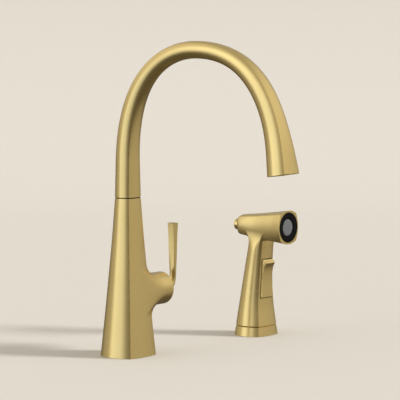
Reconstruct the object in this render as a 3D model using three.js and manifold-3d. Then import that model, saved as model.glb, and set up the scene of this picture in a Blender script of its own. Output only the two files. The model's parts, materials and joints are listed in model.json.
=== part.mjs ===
// A swing-spout kitchen faucet with one side lever, and the pull-out side spray that stands beside it.
// Millimetres, +Z up. The origin is the middle of the faucet's base on the deck, the spout reaches
// towards -Y, and the lever and the side spray are on the +X side.
import * as THREE from 'three';
import { mergeVertices } from 'three/addons/utils/BufferGeometryUtils.js';
import Module from 'manifold-3d';

const wasm = await Module();
wasm.setup();

// ---------------------------------------------------------------- driving sizes
const FIT = 0.3; // gap between pieces that touch
const SLIDE = 0.4; // gap round pieces that slide or turn in a bore
const CUT = 2; // how far a cutter runs past the face that it opens
const FINE = 32; // sides of the large round pieces
const COARSE = 16; // sides of the small round pieces

const GASKET = 1.2; // thickness of the rubber under both bases
const FACE_BULGE = 0.14; // front and back faces: rise of their arc over half their width
const SIDE_BULGE = 0.35; // side faces: rise of their arc over half their depth

// Faucet body: half widths and half depths at its five stations, from the deck to the swivel seam.
const BODY_TOP = 201.2;
const BODY_WALL = 2.6;
const BODY_STATIONS = [
  { at: 0, width: 25.5, depth: 24.8 },
  { at: 0.25, width: 21.7, depth: 21.0 },
  { at: 0.5, width: 18.1, depth: 17.5 },
  { at: 0.75, width: 14.7, depth: 14.2 },
  { at: 1, width: 12.0, depth: 11.4 },
];

// Handle boss: a drum on the body's +X side, with a fillet where it leaves the body.
const BOSS_HEIGHT = 80.5;
const BOSS_WALL = 3.6;
const BOSS_END = 66.5;
const BOSS_FILLET = 12;
const BOSS_FILLET_END = 33;

// Cartridge, from the body outwards along the boss axis.
const CARTRIDGE_RADIUS = 17;
const CARTRIDGE_SEAT = 16; // x of the face that the cartridge stands on
const CARTRIDGE_BORE = CARTRIDGE_RADIUS + SLIDE;
const BOSS_RADIUS = CARTRIDGE_BORE + BOSS_WALL;
const HOUSING_WALL = 2.4;
const HOUSING_INNER = CARTRIDGE_RADIUS - HOUSING_WALL;
const DISC_THICKNESS = 3;
const DISC_OFFSET = 3.7; // how far below the axis the moving disc stands when closed
const FIXED_DISC_RADIUS = HOUSING_INNER - 1.6;
const MOVING_DISC_RADIUS = HOUSING_INNER - DISC_OFFSET - 0.7;
const STEM_SIZE = 6;

// Lever: it tilts about a point on the boss axis, and the ball cap is a sphere about that point.
const TILT_CENTRE = 52;
const BALL_RADIUS = CARTRIDGE_BORE - 0.5;
const BALL_WALL = 2;
const TILT_MAX = THREE.MathUtils.degToRad(20);
const LEVER_REACH = 90; // x of the upright blade
const LEVER_TOP = 163.5;
const LEVER_WIDTH = 9.2;
const LEVER_THICKNESS = 6;
const LEVER_TIP_THICKNESS = 9.5;
const LEVER_NECK = 10;

// Aerator in the outlet.
const AERATOR_RADIUS = 10;
const AERATOR_LENGTH = 14;
const AERATOR_RECESS = 1;
const AERATOR_WALL = 1.8;

// Spout: a straight stem, a rise to the crown and a long fall to the outlet.
const SWIVEL_GAP = 1.3; // seam between body and spout, which the swivel washer fills
const SPOUT_WALL = 1.6;
const SPOUT_STEM_TOP = BODY_TOP + 46.8;
const SPOUT_HEIGHT = 400;
const CROWN_REACH = 110.4;
const OUTLET_REACH = 243.9;
const OUTLET_HEIGHT = 240.3;
const OUTLET_TILT = THREE.MathUtils.degToRad(9.2);
const CROWN_BULGE = 0.3; // the faces are rounder at the crown than at the ends
const SPOUT_STATIONS = [
  { at: 0, width: 12.0, depth: 11.4 },
  { at: 0.2, width: 9.6, depth: 10.5 },
  { at: 0.38, width: 7.3, depth: 9.2 },
  { at: 0.55, width: 7.8, depth: 8.5 },
  { at: 0.75, width: 9.2, depth: 10.1 },
  { at: 0.88, width: 10.7, depth: 11.2 },
  { at: 1, width: AERATOR_RADIUS + 5.4, depth: AERATOR_RADIUS + 2.8 },
];

// Swivel joint inside the seam.
const POST_RADIUS = 7.2;
const POST_BORE = 4.6;
const POST_TOP = BODY_TOP + 34.8;
const ADAPTER_TOP = BODY_TOP + 28.8;
const ADAPTER_WALL = 1.4;
const WASHER_WIDTH = 2.9;
const RISER_RADIUS = 6.5;
const O_RING_SECTION = 0.5;

// Valve body inside the faucet.
const VALVE_RADIUS = 12.5;
const VALVE_BOTTOM = 16;
const VALVE_TOP = 116;
const PORT_RADIUS = 2.6;
const INLET_RADIUS = 4.5;
const INLET_SPREAD = 6; // hot and cold stand this far each side of the middle
const INLET_X = 4;
const SPRAY_OUTLET_X = -8;
const FLANGE_THICKNESS = 4;

// Diverter at the foot of the riser.
const DIVERTER_RADIUS = 6.6;
const DIVERTER_BORE = 4.6;
const DIVERTER_BOTTOM = 90;
const DIVERTER_TRAVEL = 3;

// Side spray: where it stands, its holder and its handle.
const SPRAY_X = 248;
const SPRAY_Y = -17.7;
const HOLDER_TOP = 13.2;
const HOLDER_BORE = 15;
const LINER_WALL = 1.4;
const HANDLE_WALL = 2;
const HOLDER_STATIONS = [
  { at: 0, width: 22.2, depth: 20.3 },
  { at: 1, width: 20.7, depth: 19.0 },
];
const HANDLE_STATIONS = [
  { at: 0, width: 20.5, depth: 19.2 },
  { at: 0.3, width: 17.2, depth: 15.3 },
  { at: 0.6, width: 14.6, depth: 13.0 },
  { at: 0.85, width: 13.6, depth: 11.4 },
  { at: 1, width: 13.4, depth: 11.2 },
];
const HANDLE_LEAN = 8.3; // the handle curves forward by this much where it meets the head
const LEAN_START = 30;
const LEAN_END = 126;
const LEAN_CURVE = 1.7;

// Spray head: a barrel along Y, measured from the spray's own middle.
const HEAD_HEIGHT = 149.5;
const HANDLE_TOP = HEAD_HEIGHT - 11.5; // the handle runs up into the head
const HEAD_BACK = 26.1;
const HEAD_FRONT = -54;
const HEAD_WALL = 2;
const HEAD_MIDDLE = 14; // the handle's hollow ends this far under the head's axis
const HEAD_BULGE = 0.24;
const HEAD_STATIONS = [
  { at: 0, width: 9.0, depth: 9.2 },
  { at: 0.06, width: 10.8, depth: 11.2 },
  { at: 0.45, width: 12.4, depth: 13.8 },
  { at: 0.8, width: 15.0, depth: 16.8 },
  { at: 1, width: 17.4, depth: 18.6 },
];
const NOZZLE_RADIUS = 20.2;
const NOZZLE_FLANGE = 1.4;
const NOZZLE_BODY_RADIUS = 15;
const NOZZLE_DEPTH = 9;
const NOZZLE_RECESS = 0.5;
const NOZZLE_SEAT = NOZZLE_RECESS + NOZZLE_FLANGE + FIT; // depth of the round step cut in the head's front
const SPRAY_FACE_RADIUS = 11;
const BUTTON_RADIUS = 6.8;
const BUTTON_PROUD = 7;
const BUTTON_TRAVEL = 3;

// Trigger in the front of the handle.
const TRIGGER_BOTTOM = 51.5;
const TRIGGER_TOP = 105.5;
const TRIGGER_MARGIN = 2; // the metal left at each side of the trigger's opening
const TRIGGER_THICKNESS = 5;
const TRIGGER_LIP = 4;
const TRIGGER_BEVEL = 5; // the lip slopes down and out over this height
const TRIGGER_HOLLOW = 1; // how far the middle of its face is dished
const TRIGGER_PIVOT = 56;
const TRIGGER_PIN = 1.4;
const TRIGGER_PRESS = THREE.MathUtils.degToRad(6);

// Spray valve behind the trigger.
const SPRAY_TUBE_RADIUS = 4;
const SPRAY_TUBE_BORE = 2.8;
const SPRAY_TUBE_Y = 4; // the waterway runs behind the trigger
const SPRAY_VALVE_BOTTOM = 84;
const SPRAY_VALVE_TOP = 103;
const POPPET_RADIUS = 2.9;

// ---------------------------------------------------------------- materials
const metal = (color, roughness) => new THREE.MeshStandardMaterial({ color, roughness, metalness: 1 });
const plain = (color, roughness) => new THREE.MeshStandardMaterial({ color, roughness, metalness: 0 });
const BRASS = metal(0xb0965c, 0.32);
const INNER_BRASS = metal(0xa8874a, 0.45);
const STEEL = metal(0xb9bcc0, 0.3);
const BLACK = plain(0x1c1c1e, 0.5);
const RUBBER = plain(0x242424, 0.8);
const GREY = plain(0x8d8f90, 0.5);
const CERAMIC = plain(0xe9e6df, 0.25);
const NYLON = plain(0xd8d4c8, 0.55);
const WHITE = plain(0xf2f0ec, 0.5);

// ---------------------------------------------------------------- geometry helpers
const DEGENERATE = 1e-9;

// A closed BufferGeometry as a manifold solid, with its faces turned outwards.
function solid(geometry) {
  const bare = geometry.clone();
  bare.deleteAttribute('normal');
  bare.deleteAttribute('uv');
  const merged = mergeVertices(bare, 1e-4);
  const place = merged.attributes.position;
  const corners = [new THREE.Vector3(), new THREE.Vector3(), new THREE.Vector3()];
  const triangles = [];
  let volume = 0;
  for (let i = 0; i < merged.index.count; i += 3) {
    const ids = [0, 1, 2].map((k) => merged.index.getX(i + k));
    if (ids[0] === ids[1] || ids[1] === ids[2] || ids[2] === ids[0]) continue;
    ids.forEach((id, k) => corners[k].fromBufferAttribute(place, id));
    volume += corners[0].dot(corners[1].clone().cross(corners[2]));
    triangles.push(ids);
  }
  const turned = volume < -DEGENERATE ? triangles.map(([a, b, c]) => [a, c, b]) : triangles;
  const mesh = new wasm.Mesh({
    numProp: 3,
    vertProperties: new Float32Array(place.array),
    triVerts: new Uint32Array(turned.flat()),
  });
  return new wasm.Manifold(mesh);
}

function geometryOf(manifold) {
  const mesh = manifold.getMesh();
  const geometry = new THREE.BufferGeometry();
  geometry.setAttribute('position', new THREE.BufferAttribute(new Float32Array(mesh.vertProperties), 3));
  geometry.setIndex(new THREE.BufferAttribute(new Uint32Array(mesh.triVerts), 1));
  geometry.computeVertexNormals();
  return geometry;
}

const join = (first, ...rest) => rest.reduce((whole, piece) => whole.add(piece), first);
const cut = (first, ...rest) => rest.reduce((whole, piece) => whole.subtract(piece), first);

// A solid turned about Z from [radius, height] pairs.
function turned(pairs, sides = COARSE) {
  const profile = pairs.map(([radius, height]) => new THREE.Vector2(radius, height));
  return solid(new THREE.LatheGeometry(profile, sides).rotateX(Math.PI / 2));
}

const rod = (radius, low, high, sides) => turned([[0, low], [radius, low], [radius, high], [0, high]], sides);

function tube(outer, inner, low, high, sides) {
  return turned([[inner, low], [outer, low], [outer, high], [inner, high], [inner, low]], sides);
}

// A ring of round wire about Z.
function wireRing(radius, section, height) {
  const steps = 8;
  const pairs = Array.from({ length: steps + 1 }, (_, i) => {
    const angle = (i / steps) * 2 * Math.PI;
    return [radius + section * Math.cos(angle), height + section * Math.sin(angle)];
  });
  pairs[steps] = pairs[0];
  return turned(pairs);
}

// The outline of a close-wound spring about Z: ridges one wire apart on a thin tube.
function spring(radius, wire, low, high) {
  const turns = Math.max(2, Math.round((high - low) / (2 * wire)));
  const pitch = (high - low) / turns;
  const outside = [];
  for (let i = 0; i < turns; i += 1) {
    outside.push([radius - wire / 2, low + i * pitch], [radius, low + (i + 0.5) * pitch]);
  }
  outside.push([radius - wire / 2, high]);
  const inner = radius - 1.5 * wire;
  return turned([[inner, low], ...outside, [inner, high], [inner, low]], 12);
}

function box(low, high) {
  const size = high.map((value, i) => value - low[i]);
  const middle = high.map((value, i) => (value + low[i]) / 2);
  return solid(new THREE.BoxGeometry(...size).translate(...middle));
}

// Solids turned about Z, laid along +X or -Y and moved to a point.
const alongX = (piece, y, z) => piece.rotate([0, 90, 0]).translate([0, y, z]);
const alongY = (piece, x, z) => piece.rotate([90, 0, 0]).translate([x, 0, z]);

// A smooth value through stations that each hold `at` and `key` (Catmull-Rom, any spacing).
function stationValue(stations, key, at) {
  const last = stations.length - 1;
  const i = Math.min(last - 1, Math.max(0, stations.findLastIndex((station) => station.at <= at)));
  const value = (k) => stations[k][key];
  const slope = (k) => {
    const low = Math.max(0, k - 1);
    const high = Math.min(last, k + 1);
    return (value(high) - value(low)) / (stations[high].at - stations[low].at);
  };
  const span = stations[i + 1].at - stations[i].at;
  const t = (at - stations[i].at) / span;
  const rise = value(i + 1) - value(i);
  const start = slope(i) * span;
  const end = slope(i + 1) * span;
  return value(i) + start * t + (3 * rise - 2 * start - end) * t ** 2 + (start + end - 2 * rise) * t ** 3;
}

// A point of the faucet's section: a square of half sizes width and depth with bulging sides.
// (u, v) runs over the square from -1 to 1, so the four corners stay crisp.
function sectionPoint(u, v, width, depth, faceBulge = FACE_BULGE, sideBulge = SIDE_BULGE) {
  return {
    x: u * (width + sideBulge * depth * (1 - v * v)),
    y: v * (depth + faceBulge * width * (1 - u * u)),
  };
}

// A cylinder whose points are placed by place(u, v, t): (u, v) on a square and t from 0 to 1.
function loft(place, around, along) {
  const geometry = new THREE.CylinderGeometry(1, 1, 1, around, along);
  const position = geometry.attributes.position;
  for (let i = 0; i < position.count; i += 1) {
    const x = position.getX(i);
    const z = position.getZ(i);
    const reach = Math.max(Math.abs(x), Math.abs(z), DEGENERATE);
    const radius = Math.hypot(x, z);
    const point = place((x / reach) * radius, (z / reach) * radius, position.getY(i) + 0.5);
    position.setXYZ(i, point.x, point.y, point.z);
  }
  return solid(geometry);
}

// An upright loft between two heights, with its stations measured over `span` heights.
function column(stations, low, high, span, inset = 0, around = 24, along = 8) {
  return loft((u, v, t) => {
    const z = low + (high - low) * t;
    const at = THREE.MathUtils.clamp((z - span[0]) / (span[1] - span[0]), 0, 1);
    const width = stationValue(stations, 'width', at) - inset;
    const depth = stationValue(stations, 'depth', at) - inset;
    const { x, y } = sectionPoint(u, v, width, depth);
    return new THREE.Vector3(x, y, z);
  }, around, along);
}

const faucet = new THREE.Group();
function addPart(name, manifold, material, parent = faucet) {
  const mesh = new THREE.Mesh(geometryOf(manifold), material);
  mesh.name = name;
  parent.add(mesh);
}

// The water lines come up through the gasket and the flange into the valve body.
const INLETS = [
  { name: 'hot_inlet', x: INLET_X, y: INLET_SPREAD },
  { name: 'cold_inlet', x: INLET_X, y: -INLET_SPREAD },
  { name: 'spray_outlet', x: SPRAY_OUTLET_X, y: 0 },
];

// ---------------------------------------------------------------- faucet body
const BODY_SPAN = [0, BODY_TOP];
const BODY_FOOT = GASKET + FIT;
const SOCKET_RADIUS = POST_RADIUS + 1 + FIT; // the post's flange stands in the body's neck
const NECK_DEPTH = 16;

// The pad under the base: whole but for the holes that the supply lines pass through.
function baseGasket() {
  const outline = column(BODY_STATIONS, 0, GASKET, BODY_SPAN, 0.5, 24, 1);
  const holes = INLETS.map(({ x, y }) => rod(INLET_RADIUS + FIT, -CUT, GASKET + CUT).translate([x, y, 0]));
  return cut(outline, ...holes);
}

// The drum and its fillet, kept as deep as the drum so that they leave the body's faces flush.
function handleBoss() {
  const steps = 6;
  const root = BOSS_RADIUS + BOSS_FILLET;
  const start = BOSS_FILLET_END - BOSS_FILLET;
  const arc = Array.from({ length: steps + 1 }, (_, i) => {
    const angle = (i / steps) * (Math.PI / 2);
    return [root - BOSS_FILLET * Math.sin(angle), BOSS_FILLET_END - BOSS_FILLET * Math.cos(angle)];
  });
  const profile = [[0, 0], [root, 0], [root, start - 0.5], ...arc, [BOSS_RADIUS, BOSS_END], [0, BOSS_END]];
  const flared = alongX(turned(profile, FINE), 0, BOSS_HEIGHT);
  const slab = box([-1, -BOSS_RADIUS, 0], [BOSS_END + CUT, BOSS_RADIUS, BODY_TOP]);
  return flared.intersect(slab);
}

function bodyShell() {
  const outside = join(column(BODY_STATIONS, BODY_FOOT, BODY_TOP, BODY_SPAN, 0, 24, 10), handleBoss());
  const hollowTop = BODY_TOP - NECK_DEPTH;
  const hollow = column(BODY_STATIONS, BODY_FOOT - CUT, hollowTop, BODY_SPAN, BODY_WALL, 16, 5);
  const neck = rod(SOCKET_RADIUS, hollowTop - CUT, BODY_TOP + CUT);
  const bore = alongX(rod(CARTRIDGE_BORE, 0, BOSS_END + CUT, FINE), 0, BOSS_HEIGHT);
  return cut(outside, hollow, neck, bore);
}

// ---------------------------------------------------------------- valve body and its connections
function mountingFlange() {
  const inset = BODY_WALL + SLIDE + 0.5;
  const plate = column(BODY_STATIONS, BODY_FOOT, BODY_FOOT + FLANGE_THICKNESS, BODY_SPAN, inset, 16, 1);
  const holes = INLETS.map(({ x, y }) => rod(INLET_RADIUS + FIT, 0, VALVE_BOTTOM).translate([x, y, 0]));
  return cut(plate, ...holes);
}

function inlet({ x, y }) {
  const foot = BODY_FOOT + 1;
  return tube(INLET_RADIUS, PORT_RADIUS, foot, VALVE_BOTTOM - FIT).translate([x, y, 0]);
}

// A cross of two cylinders: the upright one carries the water, the level one holds the cartridge.
function valveBody() {
  const upright = rod(VALVE_RADIUS, VALVE_BOTTOM, VALVE_TOP, 24);
  const hollowDepth = stationValue(BODY_STATIONS, 'depth', BOSS_HEIGHT / BODY_TOP) - BODY_WALL;
  const level = alongX(rod(hollowDepth - 0.6, -VALVE_RADIUS + 2, CARTRIDGE_SEAT, 24), 0, BOSS_HEIGHT);
  const supplies = INLETS.slice(0, 2).flatMap(({ x, y }) => [
    rod(PORT_RADIUS, VALVE_BOTTOM - CUT, BOSS_HEIGHT - 6, 8).translate([x, y, 0]),
    alongX(rod(PORT_RADIUS, x, CARTRIDGE_SEAT + CUT, 8), y, BOSS_HEIGHT - 6),
  ]);
  const mixed = alongX(rod(PORT_RADIUS, 0, CARTRIDGE_SEAT + CUT, 8), 0, BOSS_HEIGHT + 8);
  const spray = rod(PORT_RADIUS, VALVE_BOTTOM - CUT, DIVERTER_BOTTOM, 8).translate([SPRAY_OUTLET_X, 0, 0]);
  const chamber = rod(DIVERTER_RADIUS + FIT, BOSS_HEIGHT + 6, VALVE_TOP + CUT, COARSE);
  return cut(join(upright, level), ...supplies, mixed, spray, chamber);
}

function diverterSleeve() {
  return tube(DIVERTER_RADIUS, DIVERTER_BORE, DIVERTER_BOTTOM, DIVERTER_BOTTOM + 18);
}

function diverterPiston() {
  const radius = DIVERTER_BORE - SLIDE;
  const foot = DIVERTER_BOTTOM + 1;
  return turned([[0, foot], [radius, foot], [radius, foot + 3], [1.6, foot + 3], [1.6, foot + 6],
    [radius, foot + 6], [radius, foot + 8], [0, foot + 8]]);
}

function diverterSpring() {
  const foot = DIVERTER_BOTTOM + 9 + DIVERTER_TRAVEL + FIT;
  return spring(DIVERTER_BORE - SLIDE, 0.8, foot, foot + 4);
}

function riserTube() {
  return tube(RISER_RADIUS, POST_BORE, DIVERTER_BOTTOM + 18 + FIT, BODY_TOP - NECK_DEPTH - 6);
}

// ---------------------------------------------------------------- swivel
const SPOUT_FOOT = BODY_TOP + SWIVEL_GAP;
const O_RING_HEIGHTS = [SPOUT_FOOT + 9, SPOUT_FOOT + 19];
const GROOVE_DEPTH = 1;
const O_RING_GAP = 0.2;
const CLIP_HEIGHT = ADAPTER_TOP + 1;
const ADAPTER_BORE = POST_RADIUS + SLIDE + 0.1;

// Hollow post: a flange in the body's neck, grooves for two O-rings, and one for the clip.
function swivelPost() {
  const foot = BODY_TOP - NECK_DEPTH - 6 + FIT;
  const flange = POST_RADIUS + 1;
  const groove = POST_RADIUS - GROOVE_DEPTH;
  const grooves = O_RING_HEIGHTS.flatMap((z) => {
    const half = O_RING_SECTION + O_RING_GAP;
    return [[POST_RADIUS, z - half], [groove, z - half], [groove, z + half], [POST_RADIUS, z + half]];
  });
  const clip = [[POST_RADIUS, CLIP_HEIGHT - FIT], [groove, CLIP_HEIGHT - FIT],
    [groove, CLIP_HEIGHT + 1.2 + FIT], [POST_RADIUS, CLIP_HEIGHT + 1.2 + FIT]];
  return turned([[POST_BORE, foot], [flange, foot], [flange, BODY_TOP], [POST_RADIUS, BODY_TOP],
    ...grooves, ...clip, [POST_RADIUS, POST_TOP], [POST_BORE, POST_TOP], [POST_BORE, foot]]);
}

function swivelWasher() {
  return tube(ADAPTER_BORE + WASHER_WIDTH, ADAPTER_BORE, BODY_TOP + FIT, SPOUT_FOOT - FIT, 24);
}

const O_RING_RADIUS = POST_RADIUS - GROOVE_DEPTH + O_RING_SECTION + O_RING_GAP;
const oRing = (height) => wireRing(O_RING_RADIUS, O_RING_SECTION, height);

function retainingClip() {
  const inner = POST_RADIUS - GROOVE_DEPTH + FIT;
  const ring = tube(ADAPTER_BORE + ADAPTER_WALL - 0.2, inner, CLIP_HEIGHT, CLIP_HEIGHT + 1.2);
  return cut(ring, box([0, -1.5, CLIP_HEIGHT - CUT], [ADAPTER_BORE + CUT * 2, 1.5, CLIP_HEIGHT + CUT * 2]));
}

function spoutAdapter() {
  return tube(ADAPTER_BORE + ADAPTER_WALL, ADAPTER_BORE, SPOUT_FOOT + 0.5, ADAPTER_TOP);
}

// ---------------------------------------------------------------- spout
// The centre line in the plane X = 0, as points (reach, height).
function spoutPath() {
  const crownDepth = stationValue(SPOUT_STATIONS, 'depth', 0.5);
  const crownWidth = stationValue(SPOUT_STATIONS, 'width', 0.5);
  const crown = SPOUT_HEIGHT - crownDepth - CROWN_BULGE * crownWidth;
  const point = (reach, height) => new THREE.Vector3(0, -reach, height);
  const outlet = point(OUTLET_REACH, OUTLET_HEIGHT);
  const fall = (crown - OUTLET_HEIGHT) * 0.3;
  const lastHandle = point(OUTLET_REACH - fall * Math.tan(OUTLET_TILT), OUTLET_HEIGHT + fall);
  const path = new THREE.CurvePath();
  const stemTop = point(0, SPOUT_STEM_TOP);
  path.add(new THREE.LineCurve3(point(0, SPOUT_FOOT), stemTop));
  path.add(new THREE.CubicBezierCurve3(stemTop, point(0, SPOUT_STEM_TOP + (crown - SPOUT_STEM_TOP) * 0.82),
    point(CROWN_REACH * 0.61, crown), point(CROWN_REACH, crown)));
  path.add(new THREE.CubicBezierCurve3(point(CROWN_REACH, crown),
    point(CROWN_REACH + (OUTLET_REACH - CROWN_REACH) * 0.857, crown), lastHandle, outlet));
  return path;
}

const SPOUT_PATH = spoutPath();

// The spout's solid, `inset` inside its surface and run `overrun` past both of its ends.
function spoutLoft(inset, around, along, overrun = 0) {
  const length = SPOUT_PATH.getLength();
  return loft((u, v, t) => {
    const centre = SPOUT_PATH.getPointAt(t);
    const tangent = SPOUT_PATH.getTangentAt(t);
    const outward = new THREE.Vector3(0, tangent.z, -tangent.y); // towards +Y at the foot
    const bulge = FACE_BULGE + (CROWN_BULGE - FACE_BULGE) * Math.sin(Math.PI * t) ** 2;
    const width = stationValue(SPOUT_STATIONS, 'width', t) - inset;
    const depth = stationValue(SPOUT_STATIONS, 'depth', t) - inset;
    const { x, y } = sectionPoint(u, v, width, depth, bulge);
    const past = t === 0 ? -overrun : (t === 1 ? overrun : 0);
    return centre.addScaledVector(outward, y).addScaledVector(tangent, past).setX(x);
  }, around, Math.round(along * Math.min(1, length / 400)));
}

const spoutShell = () => cut(spoutLoft(0, 24, 32), spoutLoft(SPOUT_WALL, 16, 22, CUT));

// Pieces in the outlet stand in a group of their own: z runs up the spout from the outlet's plane.
const outletGroup = new THREE.Group();
outletGroup.position.set(0, -OUTLET_REACH, OUTLET_HEIGHT);
outletGroup.rotation.x = -OUTLET_TILT;

const OUTLET = SPOUT_STATIONS[SPOUT_STATIONS.length - 1];

function outletBushing() {
  const low = AERATOR_RECESS;
  const high = low + 4;
  const inset = SPOUT_WALL + 1.9; // the spout narrows fast above its outlet
  const plate = loft((u, v, t) => {
    const { x, y } = sectionPoint(u, v, OUTLET.width - inset, OUTLET.depth - inset + 0.9);
    return new THREE.Vector3(x, y, low + (high - low) * t);
  }, 24, 1);
  return cut(plate, rod(AERATOR_RADIUS + FIT, low - CUT, high + CUT, 24));
}

const aeratorHousing = () => {
  const inner = AERATOR_RADIUS - AERATOR_WALL;
  const top = AERATOR_RECESS + AERATOR_LENGTH;
  return turned([[inner, AERATOR_RECESS], [AERATOR_RADIUS, AERATOR_RECESS], [AERATOR_RADIUS, top - 4],
    [AERATOR_RADIUS - 1, top - 4], [AERATOR_RADIUS - 1, top], [inner - 1.2, top], [inner - 1.2, top - 2],
    [inner, top - 2], [inner, AERATOR_RECESS]], 24);
};

// The flow straightener: a disc with a cross of square channels.
function aeratorScreen() {
  const radius = AERATOR_RADIUS - AERATOR_WALL - FIT;
  const low = AERATOR_RECESS + 1;
  const high = low + 5;
  const pitch = 3.4;
  const half = 1.2;
  const steps = [-1, 0, 1];
  const channels = steps.flatMap((i) => steps.map((j) => box(
    [i * pitch - half, j * pitch - half, low - CUT],
    [i * pitch + half, j * pitch + half, high + CUT],
  )));
  return cut(rod(radius, low, high, 20), ...channels);
}

function aeratorWasher() {
  const low = AERATOR_RECESS + AERATOR_LENGTH + FIT;
  return tube(AERATOR_RADIUS - 1.6, AERATOR_RADIUS - 3.6, low, low + 1.2);
}

// ---------------------------------------------------------------- cartridge, along +X from its seat
const SEAL_END = CARTRIDGE_SEAT + FIT + 1.2;
const BASE_START = SEAL_END + FIT;
const BASE_END = BASE_START + 3.7;
const FIXED_START = BASE_END + FIT;
const MOVING_START = FIXED_START + DISC_THICKNESS + FIT;
const CARRIER_START = MOVING_START + DISC_THICKNESS + FIT;
const CARRIER_END = CARRIER_START + DISC_THICKNESS;
const ROTOR_START = CARRIER_END + 1.6;
const HOUSING_END = TILT_CENTRE - 5.5;
const ROTOR_END = HOUSING_END - 2.5;
const PORTS = [[-6, 6], [-6, -6], [8, 0]]; // height above the axis and side of the three waterways

const onBoss = (piece) => alongX(piece, 0, BOSS_HEIGHT);

const portCutters = (low, high, radius = PORT_RADIUS) => PORTS.map(([up, side]) => (
  rod(radius, low - CUT, high + CUT, 8).translate([-up, side, 0])));

function portedDisc(radius, low, high, sides) {
  return onBoss(cut(rod(radius, low, high, sides), ...portCutters(low, high)));
}

const cartridgeSeal = () => portedDisc(13.5, CARTRIDGE_SEAT + FIT, SEAL_END, 20);
const cartridgeBase = () => portedDisc(CARTRIDGE_RADIUS, BASE_START, BASE_END, 24);
const fixedDisc = () => portedDisc(FIXED_DISC_RADIUS, FIXED_START, FIXED_START + DISC_THICKNESS, 20);

function cartridgeHousing() {
  const lip = 10.5;
  const lipStart = HOUSING_END - 2.2;
  return onBoss(turned([[HOUSING_INNER, BASE_END + FIT], [CARTRIDGE_RADIUS, BASE_END + FIT],
    [CARTRIDGE_RADIUS, HOUSING_END], [lip, HOUSING_END], [lip, lipStart], [HOUSING_INNER, lipStart],
    [HOUSING_INNER, BASE_END + FIT]], 24));
}

// The disc that opens the ports: it stands below the axis when the water is off.
function movingDisc() {
  const low = MOVING_START;
  const disc = rod(MOVING_DISC_RADIUS, low, low + DISC_THICKNESS, 20).translate([DISC_OFFSET, 0, 0]);
  const pocket = box([-1.5, -2.5, low - CUT], [7.5, 2.5, low + DISC_THICKNESS / 2]);
  return onBoss(cut(disc, pocket));
}

function discCarrier() {
  const disc = rod(MOVING_DISC_RADIUS, CARRIER_START, CARRIER_END, 20).translate([DISC_OFFSET, 0, 0]);
  const reach = CARRIER_START + 1;
  const socket = box([-STEM_SIZE / 2 - 1, -STEM_SIZE / 2 - FIT, reach],
    [STEM_SIZE / 2 + 1, STEM_SIZE / 2 + FIT, CARRIER_END + CUT]);
  return onBoss(cut(disc, socket));
}

// The rotor turns with the stem and lets it tilt in a slot.
function cartridgeRotor() {
  const slot = box([-10.5, -STEM_SIZE / 2 - SLIDE, ROTOR_START - CUT],
    [5, STEM_SIZE / 2 + SLIDE, ROTOR_END + CUT]);
  return onBoss(cut(rod(HOUSING_INNER - SLIDE, ROTOR_START, ROTOR_END - FIT, 20), slot));
}

function cartridgeNut() {
  const low = HOUSING_END + FIT;
  return onBoss(tube(CARTRIDGE_RADIUS, 12.5, low, TILT_CENTRE - 2, 24));
}

// ---------------------------------------------------------------- lever
const NECK_ANGLE = Math.asin((LEVER_NECK / 2) / (BALL_RADIUS - 4));
const OPENING_ANGLE = NECK_ANGLE + TILT_MAX + 0.03;
const SKIRT_ANGLE = OPENING_ANGLE + TILT_MAX + 0.04;
const STEM_END = TILT_CENTRE + Math.sqrt((BALL_RADIUS - BALL_WALL - SLIDE) ** 2 - STEM_SIZE ** 2 / 2);

// Dished ring in the end of the boss, hollowed to the ball cap's sphere.
function bonnetRing() {
  const inner = BALL_RADIUS + SLIDE;
  const start = TILT_CENTRE + 4;
  const startAngle = Math.acos((start - TILT_CENTRE) / inner);
  const steps = 5;
  const arc = Array.from({ length: steps + 1 }, (_, i) => {
    const angle = startAngle + (OPENING_ANGLE - startAngle) * (i / steps);
    return [inner * Math.sin(angle), TILT_CENTRE + inner * Math.cos(angle)];
  });
  const outer = CARTRIDGE_BORE - FIT;
  return onBoss(turned([...arc, [outer, BOSS_END - 0.8], [outer, start], arc[0]], FINE));
}

// Hollow cap: part of a sphere about the tilt centre.
function ballCap() {
  const steps = 8;
  const arc = (radius, from, to) => Array.from({ length: steps + 1 }, (_, i) => {
    const angle = from + (to - from) * (i / steps);
    return [Math.max(0, radius * Math.sin(angle)), TILT_CENTRE + radius * Math.cos(angle)];
  });
  const outside = arc(BALL_RADIUS, 0, SKIRT_ANGLE);
  const inside = arc(BALL_RADIUS - BALL_WALL, SKIRT_ANGLE, 0);
  outside[0][0] = 0;
  inside[steps][0] = 0;
  return onBoss(turned([...outside, ...inside], FINE));
}

function leverStem() {
  const half = STEM_SIZE / 2;
  const shank = box([-half, -half, ROTOR_START - 0.5], [half, half, STEM_END]);
  const finger = box([-half + 0.5, -half + 0.5, CARRIER_START + 1.3], [half - 0.5, half - 0.5, ROTOR_START]);
  return onBoss(join(shank, finger));
}

// The lever leaves the ball cap level, bends up and ends in a flat top.
function leverPath() {
  const start = TILT_CENTRE + BALL_RADIUS + FIT - 1.5;
  const bendTop = BOSS_HEIGHT + 24;
  const path = new THREE.CurvePath();
  path.add(new THREE.CubicBezierCurve3(
    new THREE.Vector3(start, 0, BOSS_HEIGHT),
    new THREE.Vector3(LEVER_REACH - 6, 0, BOSS_HEIGHT - 1),
    new THREE.Vector3(LEVER_REACH, 0, BOSS_HEIGHT + 3),
    new THREE.Vector3(LEVER_REACH, 0, bendTop),
  ));
  path.add(new THREE.LineCurve3(new THREE.Vector3(LEVER_REACH, 0, bendTop),
    new THREE.Vector3(LEVER_REACH, 0, LEVER_TOP)));
  return path;
}

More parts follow.
